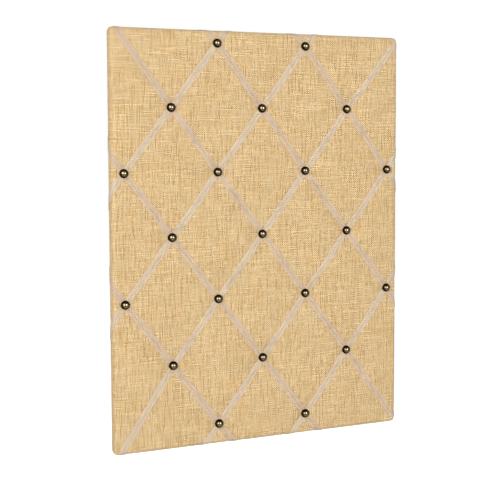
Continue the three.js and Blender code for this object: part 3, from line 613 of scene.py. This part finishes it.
def make_foam(material):
    inset = COVER_THICKNESS + SEAT_GAP
    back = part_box("foam_pad")[1].y
    spots, faces, border, normals = front_grid(FOAM_SPACING)
    points = list(wrap(spots, dip_at(spots), lift=-inset))
    last = border
    for travel in rows_along(EDGE_LENGTH, FOAM_EDGE_ROWS):
        row = spots[border] + normals * travel
        last = add_row(points, faces, last, wrap(row, dip_at(row), lift=-inset))
    at_back = [(points[i][0], back, points[i][2]) for i in last]
    last = add_row(points, faces, last, at_back)
    faces.append(last[::-1])
    return new_object("foam_pad_soft", points, faces, material)


# Ribbons

RIBBON_ACROSS = np.linspace(-1, 1, RIBBON_POINTS_ACROSS)


def ribbon_plan(spots, turns, near):
    """Spots across a tape all along its route. It sways between its studs, and they pinch it."""
    ahead = directions(spots)
    left = np.stack([-ahead[:, 1], ahead[:, 0]], -1)
    beyond = np.linalg.norm(spots - np.clip(spots, -FLAT, FLAT), axis=1)
    sway = RIBBON_SWAY * np.sin(turns / RIBBON_SWAY_LENGTH + chance.uniform(0, PHASE_SPAN))
    sway = sway * smoothstep(0, 2 * PRESS_REACH, near) * (1 - smoothstep(0, EDGE_LENGTH, beyond))
    narrowing = RIBBON_NARROWING * np.exp(-(near / PRESS_REACH) ** 2)
    width = 1 - narrowing + RIBBON_WANDER * np.sin(turns / RIBBON_WANDER_LENGTH)
    offset = (RIBBON_WIDTH / 2) * width[:, None] * RIBBON_ACROSS + sway[:, None]
    return spots[:, None] + left[:, None] * offset[..., None]


def ribbon_rows(grid, turns, near, extra_lift):
    """Loops of points round a tape that lies on the cloth. The extra lift is for crossings at its studs."""
    seat = dip_at(grid).min(1)
    for _ in range(SEAT_SMOOTHING):
        seat[1:-1] = np.minimum(seat[1:-1], (seat[:-2] + 2 * seat[1:-1] + seat[2:]) / 4)
    hump = extra_lift * (1 - smoothstep(CROSSING_REACH, 2 * CROSSING_REACH, near))
    cup = RIBBON_CUP * np.sin(turns / RIBBON_CUP_LENGTH + chance.uniform(0, PHASE_SPAN))
    cup = np.clip(cup, 0, None) * smoothstep(0, 2 * PRESS_REACH, near)
    under = hump[:, None] + cup[:, None] * RIBBON_ACROSS ** 2
    over = under + RIBBON_THICKNESS * (1 - RIBBON_EDGE_THINNING * RIBBON_ACROSS ** 8)
    dips = np.broadcast_to(seat[:, None], under.shape)
    upper = wrap(grid, dips, lift=over)
    lower = wrap(grid[:, ::-1], dips, lift=under[:, ::-1])
    return np.concatenate([upper, lower], axis=1)


def make_ribbon(name, spots, members, extra_lift, material):
    """A tape along its route, and its length. The extra lift takes it over the tape that it crosses."""
    lengths = np.concatenate([[0], np.cumsum(np.linalg.norm(np.diff(spots, axis=0), axis=1))])
    turns = 2 * math.pi * lengths
    near = np.min([np.linalg.norm(spots - stud_plans[i], axis=1) for i in members], axis=0)
    rows = ribbon_rows(ribbon_plan(spots, turns, near), turns, near, extra_lift)
    ribbon = new_object(name, *skin(rows), material)
    across = np.concatenate([RIBBON_ACROSS, RIBBON_ACROSS[::-1]]) * RIBBON_WIDTH / 2
    store_vector(ribbon, "tape", np.stack(np.broadcast_arrays(across, lengths[:, None], 0.0), -1))
    face_outwards(ribbon)
    sharpen(ribbon, 50)
    return ribbon, float(lengths[-1])


# Studs and fittings

def make_stud(name, node, material):
    dome = []
    for angle in np.linspace(0, math.pi / 2, STUD_DOME_POINTS):
        drop = (STUD_HEAD_HEIGHT + STUD_PRESS) * (1 - math.cos(angle))
        dome.append((STUD_RADIUS * math.sin(angle), drop - STUD_HEAD_HEIGHT))
    profile = [
        *dome,
        (STUD_RADIUS - STUD_RIM_WIDTH, STUD_PRESS),
        (STUD_SHANK_RADIUS, STUD_RIM_WIDTH - STUD_HEAD_HEIGHT),
        (STUD_SHANK_RADIUS, STUD_SHANK_LENGTH - STUD_POINT_LENGTH),
        (0, STUD_SHANK_LENGTH),
    ]
    stud = solid_piece(name, lathe(profile, TURNED_STEPS), material, crease=40)
    middle = centre_of(node)
    stud.location = (middle.x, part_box(node)[0].y + STUD_HEAD_HEIGHT, middle.z)
    return stud


def recess_block(turn):
    """A block across the top of a screw's head, turned round the Y axis."""
    corners = []
    for x, z in rectangle(SCREW_RECESS_SPAN, SCREW_RECESS_WIDTH):
        corners.append((x * math.cos(turn) - z * math.sin(turn), x * math.sin(turn) + z * math.cos(turn)))
    heights = (SCREW_HEAD_HEIGHT - SCREW_RECESS_DEPTH, SCREW_HEAD_HEIGHT + SCREW_RECESS_DEPTH)
    return skin([[(x, y, z) for x, z in corners] for y in heights])


def make_screw(name, node, material):
    low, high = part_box(node)
    radius = (high.x - low.x) / 2
    length = high.y - low.y - SCREW_HEAD_HEIGHT
    flat = SCREW_FLAT_SHARE * radius
    rounding = arc((flat, 0), radius - flat, 0, math.pi / 2, ROUNDING_STEPS)
    rise = (SCREW_HEAD_HEIGHT - SCREW_HEAD_SIDE) / (radius - flat)
    head = [(x, SCREW_HEAD_SIDE + y * rise) for x, y in rounding]
    profile = [
        (0, -length),
        (SCREW_SHANK_RADIUS, SCREW_POINT_LENGTH - length),
        (SCREW_SHANK_RADIUS, 0),
        (radius, 0),
        *head,
        (0, SCREW_HEAD_HEIGHT),
    ]
    screw = new_object(name, *lathe(profile, SCREW_STEPS), material)
    face_outwards(screw)
    for turn in SCREW_RECESS_TURNS:
        cutter = new_object("screw_recess", *recess_block(math.radians(turn)), material)
        cut = screw.modifiers.new("recess", "BOOLEAN")
        cut.object = cutter
        cut.solver = "EXACT"
        apply_modifiers(screw)
        bpy.data.objects.remove(cutter)
    sharpen(screw, 35)
    screw.location = ((low.x + high.x) / 2, high.y - SCREW_HEAD_HEIGHT, (low.z + high.z) / 2)
    return screw


def make_bumper(name, node, material):
    low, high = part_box(node)
    radius = (high.x - low.x) / 2
    centre = (radius - BUMPER_ROUND, high.y - BUMPER_ROUND)
    rounding = arc(centre, BUMPER_ROUND, 0, math.pi / 2, ROUNDING_STEPS)
    profile = [(0, low.y), (radius, low.y), *rounding, (0, high.y)]
    bumper = solid_piece(name, lathe(profile, TURNED_STEPS), material, crease=50)
    bumper.location = ((low.x + high.x) / 2, 0, (low.z + high.z) / 2)
    return bumper


def joint_place(body):
    return next(Vector(joint["pos_m"]) for joint in frame["joints"] if joint["child"] == body)


def make_ring(name, node, body, material):
    low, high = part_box(node)
    pivot = joint_place(body)
    half = (high.x - low.x) / 2 - RING_WIRE_RADIUS
    reach = RING_STRAIGHT + half
    right = [(RING_BUTT_GAP / 2, 0), (half / 2, 0)]
    right += arc((half - RING_CORNER, RING_CORNER), RING_CORNER, -math.pi / 2, 0, CORNER_ARC_STEPS)
    right += arc((0, RING_STRAIGHT), half, 0, math.pi / 2, RING_BOW_STEPS)
    outline = right + turned_back(right)[1:]
    lean = math.asin((pivot.y - low.y - RING_WIRE_RADIUS) / reach)
    path = [(x, -z * math.sin(lean), z * math.cos(lean)) for x, z in outline]
    section = round_section(RING_WIRE_RADIUS, RING_WIRE_SIDES)
    wire = sweep(path, section, (0, math.cos(lean), math.sin(lean)))
    ring = solid_piece(name, wire, material, crease=60)
    ring.location = pivot
    return ring


def strap_outline(end):
    """The strap's bent section as (y, z) round the ring's bar, with both leaves cut off at one height."""
    inner = RING_WIRE_RADIUS + SEAT_GAP
    outer = inner + STRAP_THICKNESS
    leaf_inner = SEAT_GAP - inner
    leaf_outer = leaf_inner + STRAP_THICKNESS
    bend = -outer - STRAP_BEND_DROP
    return [
        (-outer, end),
        *arc((0, 0), outer, math.pi, -STRAP_EXIT_ANGLE, BEND_STEPS),
        (leaf_outer, bend),
        (leaf_outer, end),
        (leaf_inner, end),
        (leaf_inner, bend + SEAT_GAP),
        *arc((0, 0), inner, -STRAP_EXIT_ANGLE, math.pi, BEND_STEPS),
        (-inner, end),
    ]


def make_strap(name, node, body, material):
    pivot = joint_place(body)
    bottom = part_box(node)[0].z - pivot.z
    corner = (STRAP_WIDTH / 2 - STRAP_END_RADIUS, bottom + STRAP_END_RADIUS)
    right_corner = arc(corner, STRAP_END_RADIUS, -math.pi / 2, 0, CORNER_ARC_STEPS)
    rows = []
    for x, end in [*turned_back(right_corner), *right_corner]:
        rows.append([(x, y, z) for y, z in strap_outline(end)])
    strap = new_object(name, *skin(rows), material)
    face_outwards(strap)
    soften_edges(strap, STRAP_EDGE_ROUND, 60)
    sharpen(strap, 35)
    strap.location = pivot
    return strap


# Back sheet and staples

dust_low, dust_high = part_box("dust_cover")
DUST_HALF = np.array([dust_high.x, dust_high.z])


def staple_places():
    """Plan points round the dust cover's border, each with the direction of the border there."""
    places = []
    reach = HALF - STAPLE_FROM_EDGE
    for axis in (0, 1):
        count = round(2 * reach[axis] / STAPLE_SPACING)
        for share in (np.arange(count) + 0.5) / count:
            for sign in (-1, 1):
                spot = np.zeros(2)
                spot[axis] = (2 * share - 1) * reach[axis] + chance.uniform(-1, 1) * STAPLE_STRAY_ALONG
                spot[1 - axis] = sign * (reach[1 - axis] + chance.uniform(-1, 1) * STAPLE_STRAY_ACROSS)
                run = math.radians(90 * axis + chance.uniform(-1, 1) * STAPLE_SKEW_DEGREES)
                places.append((spot, np.array([math.cos(run), math.sin(run)])))
    return places


def dust_depth(spots, staples):
    """Depth of the dust cover's outer face: a raised border, a flat middle, and a dent at every staple."""
    inset = (HALF - np.abs(spots)).min(-1)
    middle = dust_low.y + DUST_THICKNESS
    share = smoothstep(DUST_STEP_START, DUST_STEP_START + DUST_STEP_LENGTH, inset)
    depth = dust_high.y + (middle - dust_high.y) * share
    ripple = np.sin(spots * DUST_RIPPLE_TURNS + DUST_RIPPLE_PHASES).prod(-1)
    depth = depth - DUST_RIPPLE * (1 + ripple) * smoothstep(0, DUST_RIPPLE_START, inset) * (1 - share)
    from_border = (DUST_HALF - np.abs(spots)).min(-1)
    single = smoothstep(DUST_FOLD - DUST_FOLD_BLEND, DUST_FOLD + DUST_FOLD_BLEND, from_border)
    depth = depth - DUST_FOLD_HEIGHT * single * (1 - share)
    for spot, _ in staples:
        distance = np.linalg.norm(spots - spot, axis=-1)
        depth = depth - STAPLE_DENT * np.exp(-(distance / STAPLE_DENT_REACH) ** 2)
    return depth


def make_dust_cover(staples, material):
    _, spots = plan_grid(DUST_HALF, DUST_SPACING)
    depth = dust_depth(spots, staples)
    index = np.arange(depth.size).reshape(depth.shape)
    points = np.stack([spots[..., 0], depth, spots[..., 1]], -1).reshape(-1, 3)
    sheet = new_object("dust_cover_sheet", points, grid_faces(index.T), material)
    thicken(sheet, DUST_THICKNESS)
    return sheet


def make_staples(staples, material):
    points = []
    faces = []
    wide, thin = STAPLE_WIRE
    section = rectangle(thin, wide)
    half = STAPLE_CROWN / 2
    corner = arc((half - STAPLE_BEND, -STAPLE_BEND), STAPLE_BEND, math.pi / 2, 0, STAPLE_BEND_STEPS)
    outline = turned_back([(0, 0), *corner, (half, -STAPLE_LEG)])
    outline += [*corner, (half, -STAPLE_LEG)]
    for spot, run in staples:
        base = np.array([spot[0], float(dust_depth(spot, staples)) + thin / 2, spot[1]])
        along = np.array([run[0], 0, run[1]])
        path = [base + x * along + np.array([0, y, 0]) for x, y in outline]
        new_points, new_faces = sweep(path, section, np.cross(along, (0, 1, 0)))
        faces.extend([len(points) + i for i in face] for face in new_faces)
        points.extend(new_points)
    return solid_piece("staples", (points, faces), material, crease=50)


# Materials

class Signal:
    """A value in a shader. Arithmetic on it adds Math nodes."""

    def __init__(self, shader, socket):
        self.shader = shader
        self.socket = socket

    def apply(self, operation, *others):
        node = self.shader.node("ShaderNodeMath", operation=operation)
        for socket, value in zip(node.inputs, (self, *others)):
            self.shader.feed(socket, value)
        return Signal(self.shader, node.outputs[0])

    def __add__(self, other):
        return self.apply("ADD", other)

    def __sub__(self, other):
        return self.apply("SUBTRACT", other)

    def __mul__(self, other):
        return self.apply("MULTIPLY", other)

    def __truediv__(self, other):
        return self.apply("DIVIDE", other)

    def floor(self):
        return self.apply("FLOOR")

    def fraction(self):
        return self.apply("FRACT")

    def odd(self):
        """1 for odd whole numbers, and 0 for even ones."""
        return self.apply("FLOORED_MODULO", 2.0)

    def wave(self):
        """A cosine of period 1, between -1 and 1."""
        return (self * (2 * math.pi)).apply("COSINE")

    def size(self):
        return self.apply("ABSOLUTE")

    def step(self, low, high):
        node = self.shader.node("ShaderNodeMapRange", interpolation_type="SMOOTHSTEP")
        self.shader.feed(node.inputs["Value"], self)
        node.inputs["From Min"].default_value = low
        node.inputs["From Max"].default_value = high
        return Signal(self.shader, node.outputs["Result"])

    def between(self, first, second):
        """The first value where this one is 0, and the second where it is 1."""
        node = self.shader.node("ShaderNodeMix", data_type="FLOAT")
        self.shader.feed(node.inputs[0], self)
        self.shader.feed(node.inputs[2], first)
        self.shader.feed(node.inputs[3], second)
        return Signal(self.shader, node.outputs[0])


class Shader:
    """A material with one Principled BSDF, whose fixed values are set on its sockets."""

    def __init__(self, name, **fixed):
        self.material = bpy.data.materials.new(name)
        self.material.use_nodes = True
        self.tree = self.material.node_tree
        self.surface = self.tree.nodes["Principled BSDF"]
        for words, value in fixed.items():
            self.surface.inputs[words.replace("_", " ")].default_value = value

    def node(self, kind, **settings):
        node = self.tree.nodes.new(kind)
        for key, value in settings.items():
            setattr(node, key, value)
        return node

    def feed(self, socket, value):
        if isinstance(value, Signal):
            self.tree.links.new(value.socket, socket)
        else:
            socket.default_value = value

    def attribute(self, name):
        return Signal(self, self.node("ShaderNodeAttribute", attribute_name=name).outputs["Vector"])

    def place(self):
        return Signal(self, self.node("ShaderNodeTexCoord").outputs["Object"])

    def parts(self, vector):
        node = self.node("ShaderNodeSeparateXYZ")
        self.feed(node.inputs[0], vector)
        return [Signal(self, output) for output in node.outputs]

    def vector(self, x, y, z=0.0):
        node = self.node("ShaderNodeCombineXYZ")
        for socket, value in zip(node.inputs, (x, y, z)):
            self.feed(socket, value)
        return Signal(self, node.outputs[0])

    def noise(self, vector, scale, detail):
        node = self.node("ShaderNodeTexNoise")
        self.feed(node.inputs["Vector"], vector)
        node.inputs["Scale"].default_value = scale
        node.inputs["Detail"].default_value = detail
        return Signal(self, node.outputs["Fac"])

    def cells(self, vector, scale):
        node = self.node("ShaderNodeTexVoronoi")
        self.feed(node.inputs["Vector"], vector)
        node.inputs["Scale"].default_value = scale
        return Signal(self, node.outputs["Distance"])

    def ramp(self, factor, *stops):
        node = self.node("ShaderNodeValToRGB")
        self.feed(node.inputs[0], factor)
        elements = node.color_ramp.elements
        while len(elements) < len(stops):
            elements.new(0.5)
        for element, (position, colour) in zip(elements, stops):
            element.position = position
            element.color = (*colour, 1)
        return Signal(self, node.outputs[0])

    def tint(self, factor, first, second):
        node = self.node("ShaderNodeMix", data_type="RGBA")
        self.feed(node.inputs[0], factor)
        for socket, value in zip(node.inputs[6:8], (first, second)):
            self.feed(socket, value if isinstance(value, Signal) else (*value, 1))
        return Signal(self, node.outputs[2])

    def bump(self, height, strength, distance):
        node = self.node("ShaderNodeBump")
        self.feed(node.inputs["Height"], height)
        node.inputs["Strength"].default_value = strength
        node.inputs["Distance"].default_value = distance
        self.tree.links.new(node.outputs[0], self.surface.inputs["Normal"])

    def paint(self, colour, roughness):
        self.feed(self.surface.inputs["Base Color"], colour)
        self.feed(self.surface.inputs["Roughness"], roughness)
        return self.material


def yarn_tone(shader, yarn, along, contrast, seed):
    """The tone of a yarn, about 0.5: long slubs, short flecks, and a contrast with the yarns beside it."""
    slub = shader.noise(shader.vector(yarn * SLUB_STRIDE, along / SLUB_LENGTH, seed), 1, 1)
    fleck = shader.noise(shader.vector(yarn * FLECK_STRIDE, along / FLECK_LENGTH, seed), 1, 1)
    second = yarn.odd() - 0.5
    beside = shader.noise(shader.vector(yarn * CONTRAST_STRIDE, along / SLUB_LENGTH, seed + 20), 1, 1) - 0.5
    return slub * 0.6 + fleck * 0.75 + second * beside * contrast - 0.175


def linen_material():
    """Plain weave of slubby yarns, with the warp paler than the weft and painted shade darkening the gaps
    between yarns.
    """
    shader = Shader("linen", Sheen_Weight=0.15, Sheen_Roughness=0.5, Specular_IOR_Level=0.15)
    cloth = shader.attribute("cloth")
    u, v, _ = shader.parts(cloth)
    wobble = shader.noise(cloth, 12, 1)
    warp = u / WARP_PITCH + wobble * 1.6
    weft = v / WEFT_PITCH + wobble * 1.3
    warp_yarn = warp.floor()
    weft_yarn = weft.floor()
    weft_on_top = (warp_yarn + weft_yarn).odd()
    warp_round = (warp.fraction() - 0.5).wave() * 0.5 + 0.5
    weft_round = (weft.fraction() - 0.5).wave() * 0.5 + 0.5
    height = weft_on_top.between(
        warp_round * (weft_round * 0.5 + 0.5),
        weft_round * (warp_round * 0.5 + 0.5),
    )
    warp_tone = yarn_tone(shader, warp_yarn, v, contrast=2.5, seed=3.1) * 1.25 + 0.02
    weft_tone = yarn_tone(shader, weft_yarn, u, contrast=2.0, seed=8.4) - 0.14
    # Painted shade: where the yarns dip into the gaps between them, their colour is darkened.
    gap_shade = height.step(0.02, 0.4) - 1
    tone = weft_on_top.between(warp_tone, weft_tone) + gap_shade * 0.28 + 0.1
    yarns = shader.ramp(
        tone,
        (0.26, (0.433, 0.252, 0.095)),
        (0.43, (0.67, 0.438, 0.19)),
        (0.57, (0.80, 0.568, 0.288)),
        (0.74, (0.96, 0.765, 0.452)),
    )
    warm = shader.noise(shader.vector(u, v, 1.0), 45, 2).step(0.45, 0.7)
    pale = shader.noise(shader.vector(u, v, 2.0), 45, 2).step(0.45, 0.7)
    colour = shader.tint(warm * 0.22, yarns, (0.80, 0.495, 0.215))
    colour = shader.tint(pale * 0.18, colour, (0.66, 0.53, 0.33))
    shader.bump(height + tone * 0.5, 0.7, 0.45 * MM)
    return shader.paint(colour, tone.between(0.95, 0.8))


def ribbon_material(name, dark, pale):
    """Herringbone tape with firm edges and a dotted middle line."""
    shader = Shader(name, Sheen_Weight=0.2, Sheen_Roughness=0.4, Specular_IOR_Level=0.25)
    across, along, _ = shader.parts(shader.attribute("tape"))
    aside = across.size() / (RIBBON_WIDTH / 2)
    chevron = (along / TAPE_PITCH + aside * 1.8).wave() * 0.5 + 0.5
    ribs = (across / (RIBBON_WIDTH / 9)).wave() * 0.5 + 0.5
    edge = aside.step(0.72, 0.86)
    middle = (aside * -1 + 1).step(0.8, 0.95)
    dots = (along / (1.3 * TAPE_PITCH)).wave().step(-0.2, 0.5)
    fibre = shader.noise(shader.vector(across * 900, along * 120), 1, 2)
    weave = edge.between(chevron, ribs) * 0.5 + fibre * 0.5
    height = weave + edge * 0.3 - middle * 0.35
    tone = weave * 0.9 + 0.09 - middle * (dots * -0.25 + 0.25)
    soft = shader.noise(shader.vector(across * 60, along * 25), 1, 2)
    streak = shader.noise(shader.vector(across * 560, along * 110), 1, 3)
    yarns = shader.tint(tone * 1.8 + soft * 0.8 + streak * 1.6 - 1.63, dark, pale)
    faded = shader.noise(shader.vector(across * 90, along * 22, 4.0), 1, 2).step(0.42, 0.68)
    colour = shader.tint(faded * 0.4, yarns, (0.61, 0.485, 0.39))
    shader.bump(height, 0.4, 0.35 * MM)
    return shader.paint(colour, weave.between(0.85, 0.65))


def bronze_material():
    """Antique bronze with a patchy patina, nearly black towards the dome's rim and warm and bright towards
    its crown: partly rubbed wear, partly a painted reflection, with the rim painted dark as if it mirrored
    a dark room.
    """
    # The low edge tint keeps grazing reflections dark, for the same painted dark rim.
    shader = Shader("antique bronze", Metallic=1.0, Specular_Tint=(0.15, 0.1, 0.05, 1))
    place = shader.place()
    _, y, _ = shader.parts(place)
    # Painted reflection and wear: the base colour runs from near black at the rim to bright at the crown,
    # by height on the dome alone.
    crown_wear_and_painted_reflection = (y / -STUD_HEAD_HEIGHT).step(0.45, 0.95)
    patina = shader.noise(place, 900, 3)
    tone = crown_wear_and_painted_reflection * 0.75 + patina * 0.4 - 0.15
    colour = shader.ramp(
        tone,
        (0.05, (0.024, 0.012, 0.002)),
        (0.40, (0.095, 0.062, 0.020)),
        (0.85, (0.39, 0.31, 0.195)),
    )
    shader.bump(shader.noise(place, 500, 2), 0.03, 0.2 * MM)
    return shader.paint(colour, patina.between(0.04, 0.09))


def nickel_material(name, low, high, scale):
    shader = Shader(name, Metallic=1.0)
    place = shader.place()
    x, y, z = shader.parts(place)
    grain = shader.noise(shader.vector(x * 3000, y * 3000, z * 250), 1, 2)
    stain = shader.noise(place, scale, 3)
    colour = shader.ramp(stain, (0.3, low), (0.7, high))
    shader.bump(grain, 0.08, 0.1 * MM)
    return shader.paint(colour, grain.between(0.22, 0.42))


def rubber_material():
    shader = Shader("rubber", Specular_IOR_Level=0.3)
    place = shader.place()
    grain = shader.noise(place, 2500, 3)
    cloud = shader.noise(place, 300, 2)
    shader.bump(grain, 0.2, 0.15 * MM)
    colour = shader.ramp(cloud, (0.3, (0.16, 0.155, 0.15)), (0.7, (0.22, 0.215, 0.205)))
    return shader.paint(colour, grain.between(0.6, 0.8))


def backing_material():
    """Non-woven sheet: matted fibres, pressed together at a grid of small points."""
    shader = Shader("black non-woven", Sheen_Weight=0.1, Specular_IOR_Level=0.2)
    place = shader.place()
    x, _, z = shader.parts(place)
    points = ((x + z) / (2.4 * MM)).wave() * ((x - z) / (2.4 * MM)).wave()
    pressed = points.step(0.35, 0.8)
    upright = shader.noise(shader.vector(x * 900, z * 380), 1, 3)
    level = shader.noise(shader.vector(x * 350, z * 950), 1, 3)
    fibres = upright + level
    colour = shader.ramp(fibres * 0.5, (0.3, (0.012, 0.012, 0.012)), (0.7, (0.042, 0.041, 0.04)))
    shader.bump(fibres * 0.6 - pressed, 0.5, 0.25 * MM)
    return shader.paint(colour, pressed.between(0.95, 0.7))


def fibreboard_material():
    shader = Shader("fibreboard", Specular_IOR_Level=0.2)
    place = shader.place()
    fibres = shader.noise(place, 900, 4)
    cloud = shader.noise(place, 60, 2)
    colour = shader.ramp(fibres * 0.6 + cloud * 0.4, (0.3, (0.30, 0.19, 0.10)), (0.7, (0.45, 0.31, 0.18)))
    shader.bump(fibres, 0.2, 0.2 * MM)
    return shader.paint(colour, fibres.between(0.95, 0.8))


def foam_material():
    shader = Shader("foam", Specular_IOR_Level=0.1)
    place = shader.place()
    pores = shader.cells(place, 900)
    colour = shader.ramp(pores, (0.1, (0.62, 0.55, 0.40)), (0.6, (0.85, 0.80, 0.66)))
    shader.bump(pores, 0.6, 0.5 * MM)
    return shader.paint(colour, pores.between(1.0, 0.9))


linen = linen_material()
# The two tapes are one tape, painted lit and shaded: the rising tapes get paler, creamier colours, and the
# falling ones darker, pinker colours as painted shade.
painted_lit_tape = ribbon_material("tape painted lit", (0.42, 0.30, 0.19), (0.85, 0.69, 0.495))
painted_shade_tape = ribbon_material("tape painted shaded", (0.40, 0.275, 0.175), (0.805, 0.615, 0.425))
bronze = bronze_material()
nickel = nickel_material("nickel plate", (0.52, 0.50, 0.46), (0.68, 0.66, 0.62), 200)
staple_steel = nickel_material("staple steel", (0.42, 0.42, 0.42), (0.60, 0.60, 0.60), 120)
rubber = rubber_material()
backing = backing_material()
fibreboard = fibreboard_material()
foam_stuff = foam_material()


# Assembly: every piece rides on its body, stands for its node and takes its finish

def fit(piece, node, body="board"):
    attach(piece, body)
    if node:
        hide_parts(node)
    return piece


foam = fit(make_foam(foam_stuff), "foam_pad")

cover = fit(make_cover(linen), "linen_cover")

for family, family_routes, lift, material, slot_name in (
    # Falling tapes take the painted-shade colours, and rising tapes the painted-lit ones.
    ("fall", fall_routes, 0.0, painted_shade_tape, "mauve_ribbon"),
    ("rise", rise_routes, RIBBON_THICKNESS, painted_lit_tape, "cream_ribbon"),
):
    for number, (spots, members) in enumerate(family_routes, 1):
        node_name = f"ribbon_{family}_{number}"
        ribbon, length = make_ribbon(f"{node_name}_tape", spots, members, lift, material)
        fit(ribbon, node_name)

for node_name in stud_names:
    fit(make_stud(f"{node_name}_nail", node_name, bronze), node_name)

staples = staple_places()
dust_sheet = fit(make_dust_cover(staples, backing), "dust_cover")
fit(make_staples(staples, staple_steel), None)

for hand in ("left", "right"):
    ring_body = f"ring_{hand}"
    strap_node, ring_node, screw_node = [f"hanger_{kind}_{hand}" for kind in ("strap", "ring", "screw")]
    fit(make_strap(f"{strap_node}_bent", strap_node, ring_body, nickel), strap_node)
    fit(make_ring(f"{ring_node}_wire", ring_node, ring_body, nickel), ring_node, ring_body)
    fit(make_screw(f"{screw_node}_turned", screw_node, nickel), screw_node)
    fit(make_bumper(f"bumper_{hand}_moulded", f"bumper_{hand}", rubber), f"bumper_{hand}")

board = frame["nodes"]["backing_board"]
board.data.materials.clear()
board.data.materials.append(fibreboard)


# Stage, light and camera

def add_math(tree, operation, first, second):
    node = tree.nodes.new("ShaderNodeMath")
    node.operation = operation
    tree.links.new(first, node.inputs[0])
    tree.links.new(second, node.inputs[1])
    return node.outputs[0]


def seen_behind(tree, place):
    """1 for rays that show the background: the camera's, and mirrored ones that go behind the object."""
    path = tree.nodes.new("ShaderNodeLightPath")
    parts = tree.nodes.new("ShaderNodeSeparateXYZ")
    tree.links.new(place, parts.inputs[0])
    behind = tree.nodes.new("ShaderNodeMapRange")
    behind.interpolation_type = "SMOOTHSTEP"
    behind.inputs["From Min"].default_value = -BACKDROP_BLEND
    behind.inputs["From Max"].default_value = BACKDROP_BLEND
    tree.links.new(parts.outputs["Y"], behind.inputs["Value"])
    shown = add_math(tree, "MAXIMUM", path.outputs["Is Glossy Ray"], path.outputs["Is Transmission Ray"])
    shown = add_math(tree, "MULTIPLY", shown, behind.outputs["Result"])
    return add_math(tree, "MAXIMUM", shown, path.outputs["Is Camera Ray"])


def floor_material():
    """A pale floor that is white to the camera and still takes the object's shadow."""
    material = bpy.data.materials.new("pale floor")
    material.use_nodes = True
    tree = material.node_tree
    tree.nodes.clear()
    plain = tree.nodes.new("ShaderNodeBsdfDiffuse")
    plain.inputs["Color"].default_value = (FLOOR_TONE, FLOOR_TONE, FLOOR_TONE, 1)
    glow = tree.nodes.new("ShaderNodeEmission")
    glow.inputs["Strength"].default_value = FLOOR_GLOW
    both = tree.nodes.new("ShaderNodeAddShader")
    mix = tree.nodes.new("ShaderNodeMixShader")
    output = tree.nodes.new("ShaderNodeOutputMaterial")
    place = tree.nodes.new("ShaderNodeNewGeometry").outputs["Position"]
    tree.links.new(plain.outputs[0], both.inputs[0])
    tree.links.new(glow.outputs[0], both.inputs[1])
    tree.links.new(seen_behind(tree, place), mix.inputs[0])
    tree.links.new(plain.outputs[0], mix.inputs[1])
    tree.links.new(both.outputs[0], mix.inputs[2])
    tree.links.new(mix.outputs[0], output.inputs["Surface"])
    return material


def make_floor():
    level = cover_low.z - FLOOR_DROP
    corners = [(x, y, level) for x, y in rectangle(FLOOR_SIZE, FLOOR_SIZE)]
    floor = new_object("floor", corners, [(0, 1, 2, 3)], floor_material())


def make_world():
    world = bpy.data.worlds.new("studio")
    bpy.context.scene.world = world
    world.use_nodes = True
    tree = world.node_tree
    tree.nodes.clear()
    white = tree.nodes.new("ShaderNodeBackground")
    white.inputs["Color"].default_value = (1, 1, 1, 1)
    soft = tree.nodes.new("ShaderNodeBackground")
    soft.inputs["Color"].default_value = (1, 1, 1, 1)
    soft.inputs["Strength"].default_value = AMBIENT
    mix = tree.nodes.new("ShaderNodeMixShader")
    output = tree.nodes.new("ShaderNodeOutputWorld")
    direction = tree.nodes.new("ShaderNodeTexCoord").outputs["Generated"]
    tree.links.new(seen_behind(tree, direction), mix.inputs[0])
    tree.links.new(soft.outputs[0], mix.inputs[1])
    tree.links.new(white.outputs[0], mix.inputs[2])
    tree.links.new(mix.outputs[0], output.inputs["Surface"])


def make_lamp(name, spot, size, power):
    lamp = bpy.data.lights.new(name, "AREA")
    lamp.shape = "DISK"
    lamp.size = size
    lamp.energy = power
    holder = bpy.data.objects.new(name, lamp)
    holder.location = spot
    holder.rotation_mode = "QUATERNION"
    holder.rotation_quaternion = (-Vector(spot)).to_track_quat("-Z", "Y")
    bpy.context.scene.collection.objects.link(holder)


def make_camera():
    camera = bpy.data.cameras.new("camera")
    camera.sensor_width = SENSOR_WIDTH
    camera.lens = SENSOR_WIDTH * FOCAL_PIXELS / PICTURE_SIZE
    camera.shift_y = SHIFT_PIXELS / PICTURE_SIZE
    holder = bpy.data.objects.new("camera", camera)
    level = math.cos(CAMERA_PITCH)
    forward = Vector((math.sin(CAMERA_YAW) * level, math.cos(CAMERA_YAW) * level, math.sin(CAMERA_PITCH)))
    turn = forward.to_track_quat("-Z", "Y").to_matrix() @ Matrix.Rotation(CAMERA_ROLL, 3, "Z")
    holder.matrix_world = Matrix.Translation(CAMERA_PLACE) @ turn.to_4x4()
    bpy.context.scene.collection.objects.link(holder)
    bpy.context.scene.camera = holder


make_floor()
make_world()
for lamp in LAMPS:
    make_lamp(*lamp)
make_camera()
bpy.context.scene.view_settings.view_transform = "Standard"
